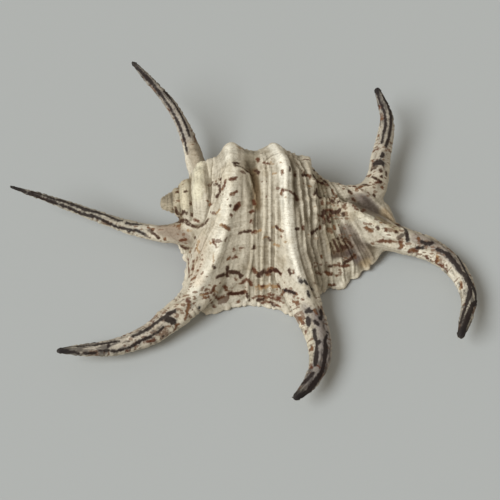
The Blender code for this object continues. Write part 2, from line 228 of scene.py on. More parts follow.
def spine(points):
    """Tapering tube along its line: an oval section with a crest on top between two grooves."""
    centre, radius, side, upward = spine_frame(points, SPINE_STEPS)
    turn = np.linspace(0, 2 * math.pi, SPINE_AROUND, endpoint=False)[None, :, None]
    from_top = np.abs(turn - math.pi / 2)
    crest = SPINE_CREST * np.exp(-(from_top / CREST_WIDTH) ** 2)
    groove = SPINE_GROOVE * np.exp(-((from_top - GROOVE_PLACE) / GROOVE_WIDTH) ** 2)
    reach = radius[:, None, None] * (1 + crest - groove)
    across = SPINE_WIDE * np.cos(turn) * side[:, None]
    above = SPINE_THICK * np.sin(turn) * upward[:, None]
    return grid_solid("spine", centre[:, None] + reach * (across + above))


# ---- Growing the parts into one skin ----
# The real shell has no seams between them, so they are merged, hollowed by the opening
# below and relaxed until the roots run into each other.
SKIN_GRAIN = 0.56
OPENING_LINE = [(-15, 4), (-8, 7), (2, 8.6), (12, 8.4), (22, 5.6), (31, 2)]
OPENING_HEIGHT = 22
OPENING_BOTTOM = -6
OPENING_MIDDLE_Y = 4
OPENING_LEAN = 0.35
OPENING_TURN = 0.1
SPINE_BELONGS, SPINE_FREE = (1.25, 1.7), (0.3, 0.42)
SPIRE_END = (-17, -14)
JOIN_ROUNDS, JOIN_SHARE, CRISP_SHARE = 22, 0.5, 0.34
MEASURED_STEPS = 60


def opening_cutter():
    """Curved slot: a lens-shaped section drawn up into the body and bent along with it."""
    line = smooth_path(OPENING_LINE, 60)
    x, width = line[:, 0][:, None], line[:, 1][:, None]
    turn = np.linspace(0, 2 * math.pi, 40, endpoint=False)[None, :]
    rise = OPENING_BOTTOM + OPENING_HEIGHT * 0.5 * (1 + np.sin(turn))
    middle = OPENING_MIDDLE_Y - OPENING_LEAN * rise + OPENING_TURN * x
    grid = np.stack([x + 0 * turn, middle + 0.5 * width * np.cos(turn), rise + 0 * x], axis=-1)
    return grid_solid("opening", grid)


def apply_modifier(solid, kind, **values):
    """Adds one modifier, sets it and bakes it into the mesh."""
    modifier = solid.modifiers.new(kind, kind)
    for key, value in values.items():
        setattr(modifier, key, value)
    bpy.context.view_layer.objects.active = solid
    bpy.ops.object.modifier_apply(modifier=modifier.name)


def read_mesh(mesh):
    """Points, normals and edges of a mesh as arrays."""
    points = np.empty(len(mesh.vertices) * 3)
    normals = np.empty(len(mesh.vertices) * 3)
    edges = np.empty(len(mesh.edges) * 2, int)
    mesh.vertices.foreach_get("co", points)
    mesh.vertices.foreach_get("normal", normals)
    mesh.edges.foreach_get("vertices", edges)
    return points.reshape(-1, 3), normals.reshape(-1, 3), edges.reshape(-1, 2)


def relax(points, edges, rounds, share):
    """Each round moves every point its share of the way to the mean of its neighbours."""
    first, second = edges[:, 0], edges[:, 1]
    total = len(points)
    count = np.bincount(edges.ravel(), minlength=total)[:, None]
    for _ in range(rounds):
        columns = [np.bincount(first, points[second, axis], total)
                   + np.bincount(second, points[first, axis], total) for axis in range(3)]
        points = points + share[:, None] * (np.stack(columns, axis=1) / count - points)
    return points


def write_points(mesh, points):
    """Puts moved points back into the mesh."""
    mesh.vertices.foreach_set("co", points.ravel())
    mesh.update()


def line_gap(points, path):
    """Straight distance from each point to a line, and the share of the line's pieces up to there."""
    start, step = path[:-1], np.diff(path, axis=0)
    best = np.full(len(points), 1e9)
    share = np.zeros(len(points))
    for number in range(len(start)):
        offset = points - start[number]
        place = np.clip(offset @ step[number] / (step[number] @ step[number]), 0, 1)
        gap = np.linalg.norm(offset - place[:, None] * step[number], axis=1)
        closer = gap < best
        best[closer] = gap[closer]
        share[closer] = (number + place[closer]) / len(start)
    return best, share


def ramp(value, low, high):
    """Rises smoothly from 0 at low to 1 at high: three squares less two cubes of the share."""
    share = np.clip((value - low) / (high - low), 0, 1)
    return share * share * (3 - 2 * share)


parts = [coiled_body(), wing()] + [spine(points) for points in SPINES]
bpy.ops.object.select_all(action="DESELECT")
for part in parts:
    part.select_set(True)
shell = parts[0]
bpy.context.view_layer.objects.active = shell
bpy.ops.object.join()
apply_modifier(shell, "REMESH", mode="VOXEL", voxel_size=SKIN_GRAIN, adaptivity=0)
cutter = opening_cutter()
apply_modifier(shell, "BOOLEAN", operation="DIFFERENCE", solver="EXACT", object=cutter)
bpy.data.objects.remove(cutter, do_unlink=True)
apply_modifier(shell, "REMESH", mode="VOXEL", voxel_size=SKIN_GRAIN, adaptivity=0)

points, normals, edges = read_mesh(shell.data)
spine_share = np.zeros(len(points))
spine_side = np.zeros(len(points))
spine_ratio = np.full(len(points), 1e9)
spine_length = np.zeros(len(points))
for line in SPINES:
    centre, radius, side, upward = spine_frame(line, MEASURED_STEPS)
    gap, share = line_gap(points, centre)
    length = np.concatenate([[0], np.cumsum(np.linalg.norm(np.diff(centre, axis=0), axis=1))])
    place = share * (MEASURED_STEPS - 1)
    along = np.interp(place, np.arange(MEASURED_STEPS), length)
    step = np.ceil(place - 1e-9).astype(int)
    ratio = gap / radius[step]
    offset = points - centre[step]
    lateral = (offset * side[step]).sum(axis=1) / radius[step]
    nearer = ratio < spine_ratio
    spine_ratio[nearer] = ratio[nearer]
    spine_share[nearer] = (along / length[-1])[nearer]
    spine_side[nearer] = lateral[nearer]
    spine_length[nearer] = (length[-1] - along)[nearer]
on_spine = 1 - ramp(spine_ratio, *SPINE_BELONGS)
free_spine = on_spine * ramp(spine_share, *SPINE_FREE)
on_spire = 1 - ramp(points[:, 0], *SPIRE_END)
softness = JOIN_SHARE - CRISP_SHARE * np.maximum(free_spine, on_spire)
write_points(shell.data, relax(points, edges, JOIN_ROUNDS, softness))

# ---- Ribs and knobs ----
# Rounded ribs run over the back and down to each spine, with knobs where each crosses
# the shoulder. Between them lie thin cords, crossed by the lines of growth.
RIDGES = [
    ([(-6.6, 38, 14), (-6.8, 37.2, 24), (-7, 34.2, 30.2), (-7, 28.6, 34.8), (-7, 21, 37),
      (-7, 13, 36), (-8.8, 5.5, 31.5), (-11, -0.9, 27), (-13.4, -8, 20.5), (-17, -14.6, 15),
      (-22, -20, 12)], 2.6, 3.8),
    ([(8, 38, 13), (8.3, 37.4, 23), (9, 34.6, 29.2), (10.6, 29.2, 34), (12.8, 22.5, 36.6),
      (13.9, 14.7, 36), (14.8, 6, 32), (15.2, -3, 26), (17, -12, 18), (20.2, -19.6, 14)], 2.6, 3.8),
    ([(19.6, 35.4, 15), (20.2, 33.6, 23), (21.4, 28.6, 28.8), (23.6, 20, 31), (25.6, 12, 28.6),
      (27.4, 0.5, 21), (30.2, -7.3, 12)], 1.7, 2.0),
    ([(31.6, 20, 22), (34.5, 14, 21), (38.5, 11.6, 19.5), (46, 9.8, 17), (54, 6.6, 16)], 1.4, 2.6),
    ([(19, 22, 33.6), (19.4, 14, 32.6), (20, 5, 27.6), (21.2, -3, 20.6), (24.4, -11, 12)], 1.0, 1.2),
    ([(22, 18, 32), (22.6, 9, 28.6), (23.6, 1, 22.6), (26, -6.6, 15)], 0.9, 1.0),
]
KNOBS = [(-7.4, 33.6, 31.2, 1.9, 4.2), (-6.8, 17.5, 38, 2.0, 3.4), (-17.6, 29.6, 28.4, 1.7, 3.2),
         (-18.5, 14, 32.5, 1.4, 2.8), (9, 34, 30.4, 0.5, 4), (13.2, 20.5, 38, 1.9, 3.6),
         (21.4, 29.6, 27.6, 0.8, 3), (24.8, 16, 31, 1.3, 2.2), (39, 12.6, 20.4, 1.4, 2.6)]


points, normals, edges = read_mesh(shell.data)
lift = np.zeros(len(points))
for line, height, width in RIDGES:
    gap, share = line_gap(points, smooth_path(line, 26))
    fade = np.clip(6 * share + 0.35, 0, 1) * np.clip(4 * (1 - share), 0, 1)
    lift = lift + height * fade * np.exp(-(gap / width) ** 2)
for x, y, z, height, width in KNOBS:
    gap = np.linalg.norm(points - [x, y, z], axis=1)
    lift = lift + height * np.exp(-(gap / width) ** 2)
points = relax(points + normals * lift[:, None], edges, 3, softness * 0.6)
write_points(shell.data, points)

# ---- Cords, threads and growth lines ----
# Thin cords run with the ribs, from over the back down to the lip, and the growth lines
# cross them. Each is a line in plan, front edge last: points, height and half width in mm.
CORDS = [
    ([(-13.5, 27), (-14, 19.5), (-14, 13.5), (-14.5, 8.5), (-15.4, 5.4)], 0.35, 0.5),
    ([(-10.5, 20), (-11.5, 14.5), (-13.5, 7.5), (-16.5, 2), (-19.5, -1.5), (-23, -4.5),
      (-24.5, -10), (-23.5, -20)], 0.2, 0.7),
    ([(-7.8, 31), (-7, 20.5), (-7.2, 13), (-8, 4.5), (-9.5, -3), (-13, -11), (-17, -16.5),
      (-21.5, -22.5)], 0.45, 1.5),
    ([(-0.5, 19), (1, 14), (2, 10), (1.5, 5.5), (1, 1), (1, -3), (0.5, -8.5), (-1, -13.5),
      (-1, -18)], 0.4, 0.5),
    ([(4, 31), (5, 23), (5.5, 18), (5.5, 8.5), (5.5, 2), (4.6, -4.5), (4.5, -10.5),
      (4.5, -17.5)], 0.62, 0.5),
    ([(5.4, 29), (6, 25), (7.5, 19), (7.5, 8.5), (7.5, 2), (7.5, -4.5), (7.5, -11), (8, -18)],
     0.55, 0.45),
    ([(9.5, 33.5), (12, 25.5), (13.5, 18.5), (13.5, 12), (14, 3.5), (15, -5.5), (17.5, -13),
      (20, -19.5), (23, -28)], 0.5, 1.0),
    ([(15.5, 26), (18, 20.5), (18.5, 15.5), (19.5, 9), (20, -2), (20.5, -6), (22, -10),
      (24, -15.5), (26.5, -21)], 0.6, 0.6),
    ([(17.5, 28), (20, 22), (21, 17), (22, 10.5), (22, -0.5), (23, -5.5), (25, -8.5),
      (27, -12)], 0.62, 0.55),
    ([(20.5, 31), (22, 26), (23.5, 19.5), (24.5, 13), (25, 8), (24.5, 1), (26, -4.5),
      (28, -8.5), (29, -11.5)], 0.4, 0.9),
    ([(24, 30), (26.5, 22.5), (28.5, 15), (28.5, 9.5), (28.5, 4.5), (30, 0), (31, -5),
      (31.5, -11.5)], 0.38, 0.5),
    ([(26, 29), (28, 22.5), (30, 15.5), (30.5, 10), (31.5, 4.5), (34, 0), (35, -4), (36, -9.5)],
     0.34, 0.45),
    ([(28, 26.5), (31, 20.5), (32, 14), (32.5, 9.5), (34.5, 5), (37, 0.5), (39.5, -3.5),
      (40, -7)], 0.34, 0.5),
    ([(30.5, 25.5), (33.5, 20), (34.5, 12.5), (36, 8.5), (38.5, 5), (41, 1.5), (43.5, -2),
      (45, -4.5)], 0.34, 0.55),
    ([(33.5, 24.5), (37, 19), (38, 10.5), (40.5, 7), (43, 4), (46, 1.5), (48, -1.5)], 0.34, 0.6),
    ([(38, 20), (40.5, 12.5), (44.5, 9.5), (49, 6.5), (53.5, 4), (59.5, 2.5)], 0.3, 1.1),
    ([(35, 24.5), (39, 25), (43.5, 22.5), (49, 20.5), (54.5, 16), (59, 6.5)], 0.3, 0.8),
]
SHORT_CORDS = [
    ([(2.5, 8.5), (2.5, 1.5), (2.5, -4.5), (2.5, -10.5), (2, -18)], 0.3, 0.4),
    ([(10, 8.5), (10, 2), (10, -5), (10, -12), (12, -19)], 0.45, 0.45),
    ([(-10.5, 6), (-13, 0), (-16.5, -4.5), (-19.5, -10), (-22, -16), (-22.5, -22)], 0.25, 0.6),
    ([(-3.8, 24), (-3.6, 14), (-4, 4), (-5.4, -6), (-8, -14)], 0.16, 0.35),
    ([(-5.6, 18), (-5.6, 10), (-6.6, 2), (-9, -6), (-12.4, -14)], 0.12, 0.3),
    ([(-12, 20), (-12.8, 11), (-15, 3), (-18.4, -5), (-21, -14)], 0.14, 0.35),
    ([(-2, 12), (-1.4, 5), (-1.8, -3), (-3.4, -12)], 0.12, 0.3),
    ([(11.8, 20), (11.8, 10), (12, 0), (13.4, -10)], 0.14, 0.35),
]
NODULES = [(-18.6, 28.4, 0.9, 2.2), (-19.4, 22, 0.5, 2), (-19.8, 16, 0.5, 2),
           (23.6, 19.6, 0.9, 1.3), (24.4, 14.4, 0.45, 1.2), (24.8, 9.4, 0.5, 1.2),
           (24.9, 5.2, 0.4, 1.1), (24.8, 0.6, 0.4, 1.1),
           (42.5, 9.6, 0.5, 1.6), (21.4, 12.6, 0.3, 1.0)]
VALLEYS = [
    ([(-0.4, 32), (0.4, 26), (0.8, 21), (2, 14), (2.4, 8), (2.6, 1)], 1.9, 2.3),
    ([(14.5, 28), (16, 24), (17, 18), (17.4, 10), (17.4, 2), (18.6, -6), (21, -13), (24.5, -21)],
     0.8, 1.2),
    ([(22.2, 18), (23.2, 10), (23.4, 2), (24.4, -4), (26.6, -8)], 0.35, 0.7),
    ([(25.6, 27), (26.6, 19), (27, 10), (27, 3), (28.4, -3), (30, -8)], 0.45, 0.9),
    ([(-14.2, 30), (-14.9, 20), (-14.9, 12), (-16.4, 6), (-18.4, 3.4), (-22, 5)], 0.7, 0.7),
    ([(-21.4, 31), (-22.6, 26), (-22.9, 18), (-22.4, 10), (-22.8, 7)], 0.6, 0.9),
    ([(37, 18), (41, 14.6), (46, 12.6), (52, 9.4)], 0.7, 1.6),
]
CORD_BACK_DRIFT = 1.18
BACK_ANGLES = np.radians([-190, -170, -150, -130, -110, -90, -72, -55])
BREAKS = [([(-10.5, 17), (-9, 18.5), (-7, 20.5), (-5.5, 20.2), (-2.5, 20), (0.5, 18.6)],
           -11.5, 0, 0.75, 10, 0.35),
          ([(6.5, 24.6), (8.4, 26.4), (12, 26.6), (14.2, 25.4)], 5.5, 13.5, 0.6, 8, 0.2)]
LIP_SCALLOP, LIP_FRILL, LIP_DROP = 3.8, 1.0, 0.45
LIP_CORNERS = [(36.3, -11.2, 1.3, 1.7), (39, -8, -1.2, 2.2), (42.6, -3.6, -1.4, 2.2),
               (46.3, -4.8, 1.5, 1.6), (30.8, -12.4, -0.7, 2)]
SPINE_TOOTH, SPINE_TOOTH_HEIGHT = 3.3, 0.38
CORD_RISE = 1.5
THREADS, THREAD_HEIGHT = 3, 0.1
COIL_RADIUS = 18
GROWTH_SPACING, GROWTH_HEIGHT = 2.3, 0.07
SWELL_LENGTH, SWELL_HEIGHT = 5, 0.09
PUCKER_LENGTH, PUCKER_HEIGHT = 2.4, 0.04
WHORL_SWELL, WHORL_SINK = 0.6, 0.4
WHORL_THREADS, WHORL_THREAD_HEIGHT = 5, 0.12
SUTURE_DEPTH, SUTURE_WIDTH = 0.5, 0.045
RIM_HEIGHT, RIM_PLACE, RIM_WIDTH = 0.4, 0.08, 0.05
DROP_FROM = 60
DROP_STEP = 1.5
CALM_ROUNDS, FLAT_ROUNDS = 14, 110


def drop_on_skin(plan):
    """Points of a plan line dropped on to the skin from above, and which of them land on it."""
    hits = [shell.ray_cast((x, y, DROP_FROM), (0, 0, -1)) for x, y in plan[:, :2]]
    held = [number for number, hit in enumerate(hits) if hit[0]]
    return np.array([hits[number][1] for number in held]), held


def dropped(line):
    """A plan line smoothed in steps of about DROP_STEP, and dropped on to the skin."""
    line = np.array(line, float)
    reach = np.linalg.norm(np.diff(line, axis=0), axis=1).sum()
    return drop_on_skin(smooth_path(line, max(6, int(reach / DROP_STEP))))[0]


def over_back(path):
    """The line carried on round the back of the coil, creeping towards the apex as it winds."""
    x, y, z = path[0]
    centre_y, centre_z = axis_at(x)
    start = math.atan2(centre_y - y, z - centre_z)
    angle = BACK_ANGLES[BACK_ANGLES < start - 0.15]
    creep = CORD_BACK_DRIFT ** ((angle - start) / (2 * math.pi))
    back_x = APEX_X + (x - APEX_X) * creep
    radius = np.interp(back_x, OUTLINE[:, 0], OUTLINE[:, 1])
    centre_y, centre_z = axis_at(back_x)
    back = np.stack([back_x, centre_y - radius * np.sin(angle),
                     centre_z + radius * np.cos(angle)], axis=1)
    return np.vstack([back, path])


def skin_gap(points, normals, path, radii=0):
    """Largest of the line's radius less the distance to it, measured along the skin.

    The part of the distance that stands off the skin is left out, up to 1.5 mm.
    """
    radii = np.zeros(len(path)) + radii
    field = np.full(len(points), -99.0)
    low, high = path.min(axis=0) - 9, path.max(axis=0) + 9
    near = np.flatnonzero(((points > low) & (points < high)).all(axis=1))
    spot, facing = points[near], normals[near]
    best = field[near]
    for number in range(len(path) - 1):
        step = path[number + 1] - path[number]
        offset = spot - path[number]
        place = np.clip(offset @ step / max(step @ step, 1e-6), 0, 1)
        gap = offset - place[:, None] * step
        off_skin = np.minimum((gap * facing).sum(axis=1) ** 2, 2.25)
        distance = np.sqrt(np.maximum((gap ** 2).sum(axis=1) - off_skin, 0))
        radius = radii[number] + place * (radii[number + 1] - radii[number])
        best = np.maximum(best, radius - distance)
    field[near] = best
    return field


def front_of(points, line):
    """How far a point lies in front of a plan line, in mm."""
    line = np.array(line)
    return np.interp(points[:, 0], line[:, 0], line[:, 1]) - points[:, 1]


def ripple(points, wavelength, count, seed):
    """Gentle unevenness: a mean of sine waves of one length in random directions."""
    random = np.random.default_rng(seed)
    direction = random.normal(size=(3, count))
    direction = direction / np.linalg.norm(direction, axis=0)
    phase = random.uniform(0, 2 * math.pi, count)
    stretch = random.uniform(0.7, 1.4, count)
    waves = np.sin(2 * math.pi / wavelength * stretch * (points @ direction) + phase)
    return waves.sum(axis=1) / math.sqrt(count)


bpy.context.view_layer.update()
points, normals, edges = read_mesh(shell.data)
cord_gaps = np.array([-skin_gap(points, normals, over_back(dropped(line))) for line, _, _ in CORDS])
pair = cord_gaps[:-1] + cord_gaps[1:]
cell = pair.argmin(axis=0)
each = np.arange(len(points))
across = cell + cord_gaps[cell, each] / np.maximum(pair[cell, each], 1e-6)
centre_y, centre_z = axis_at(points[:, 0])
turn_angle = np.arctan2(centre_y - points[:, 1], points[:, 2] - centre_z)
turn = turn_angle * COIL_RADIUS
upward_facing = normals[:, 2]
dorsal = ramp(upward_facing + ramp(points[:, 1], 26, 34), -0.25, 0.1) * (1 - free_spine)
not_spire = ramp(points[:, 0] + 14.5, -0.6, 0.6)

lift = np.zeros(len(points))
wobble = (1 + 0.25 * np.sin(turn * 1.3 + 2 * across)) * (1 - 0.55 * ramp(points[:, 1], 24, 31))
for (line, height, width), gap in zip(CORDS, cord_gaps):
    lift = lift + CORD_RISE * height * np.exp(-(gap / width) ** 2) * dorsal * wobble
for line, height, width in SHORT_CORDS:
    gap = skin_gap(points, normals, dropped(line))
    lift = lift + CORD_RISE * height * np.exp(-(gap / width) ** 2) * dorsal
for line, depth, width in VALLEYS:
    gap = skin_gap(points, normals, dropped(line))
    lift = lift - depth * np.exp(-(gap / width) ** 2) * (1 - ramp(points[:, 1], 22, 31))
for x, y, height, width in NODULES:
    place = drop_on_skin(np.array([(x, y)]))[0]
    gap = np.linalg.norm(points - place, axis=1)
    lift = lift + height * np.exp(-(gap / width) ** 4)
thread = np.cos(2 * math.pi * THREADS * across) * (across < len(CORDS) - 1)
lift = lift + THREAD_HEIGHT * thread * dorsal * not_spire

whorl = whorl_number(points[:, 0], turn_angle)
spire = (1 - ramp(points[:, 0], -15.5, -14)) * (1 - on_spine)
early = 1 - ramp(points[:, 0], -24, -21)
within = whorl - np.floor(whorl)
profile = WHORL_SWELL * np.sin(math.pi * within ** 0.8) - WHORL_SINK
from_suture = whorl - np.round(whorl)
lift = lift + spire * profile * (0.1 + 0.75 * early)
lift = lift + spire * WHORL_THREAD_HEIGHT * np.cos(2 * math.pi * WHORL_THREADS * whorl)
lift = lift - spire * SUTURE_DEPTH * np.exp(-(from_suture / SUTURE_WIDTH) ** 2)
lift = lift + spire * RIM_HEIGHT * np.exp(-((from_suture - RIM_PLACE) / RIM_WIDTH) ** 2)

for line, start, end, height, reach, groove in BREAKS:
    front = front_of(points, line)
    within = ramp(points[:, 0], start, start + 2) * (1 - ramp(points[:, 0], end, end + 2))
    within = within * (upward_facing > 0)
    lift = lift + within * height * ramp(front, -0.35, 0.35) * (1 - ramp(front, 1, reach))
    lift = lift - within * groove * np.exp(-((front + 0.5) / 0.5) ** 2)

growth = np.sin(2 * math.pi * (turn + 0.8 * np.sin(across * 2.1)) / GROWTH_SPACING)
growth = growth * (0.5 + 0.5 * np.sin(turn * 0.37 + across * 0.6))
lift = lift + GROWTH_HEIGHT * growth * dorsal * not_spire
lift = lift + SWELL_HEIGHT * ripple(points, SWELL_LENGTH, 40, 3) * (1 - 0.6 * free_spine)
lift = lift + PUCKER_HEIGHT * ripple(points, PUCKER_LENGTH, 40, 4)

lip_line = smooth_path(WING_LIP, 400) - [0, 0, LIP_THICKNESS / 2]
lip_gap, lip_along = line_gap(points, lip_line)
lip_along = lip_along * np.linalg.norm(np.diff(lip_line, axis=0), axis=1).sum()
at_lip = np.exp(-(lip_gap / 1.7) ** 2) * (points[:, 1] < 8) * (1 - on_spine)
frill = np.abs(np.sin(math.pi * (lip_along + 0.9 * np.sin(0.9 * lip_along)) / LIP_SCALLOP)) ** 0.7
frill = frill * (0.75 + 0.35 * np.sin(0.83 * lip_along + 1))
lift = lift + at_lip * (LIP_FRILL * frill - LIP_DROP)
for x, y, push, width in LIP_CORNERS:
    gap = np.linalg.norm(points[:, :2] - [x, y], axis=1)
    lift = lift + push * np.exp(-(gap / width) ** 2) * np.exp(-(lip_gap / 3) ** 2)

saw = (spine_length + 1.6 * np.sin(0.7 * spine_length) + 3 * (spine_side > 0)) / SPINE_TOOTH % 1
beside = np.abs(spine_side)
lift = lift + free_spine * SPINE_TOOTH_HEIGHT * (saw - 0.4) * ramp(beside, 0.5, 0.95)
tooth_mark = free_spine * (1 - ramp(saw, 0.28, 0.45)) * ramp(beside, 0.35, 0.6)
tooth_mark = tooth_mark * (upward_facing > -0.1)
raised = points + normals * lift[:, None]
calm = relax(raised, edges, CALM_ROUNDS, np.full(len(points), 0.5))
flat = relax(calm, edges, FLAT_ROUNDS, np.full(len(points), 0.6))
# Heights of the fine and the broad relief above the relaxed skin. The material turns them into painted
# shade in hollows and grooves and painted highlight on rises and crests.
relief_height = ((raised - calm) * normals).sum(axis=1)
broad_height = ((raised - flat) * normals).sum(axis=1)
write_points(shell.data, raised)
bpy.context.view_layer.update()

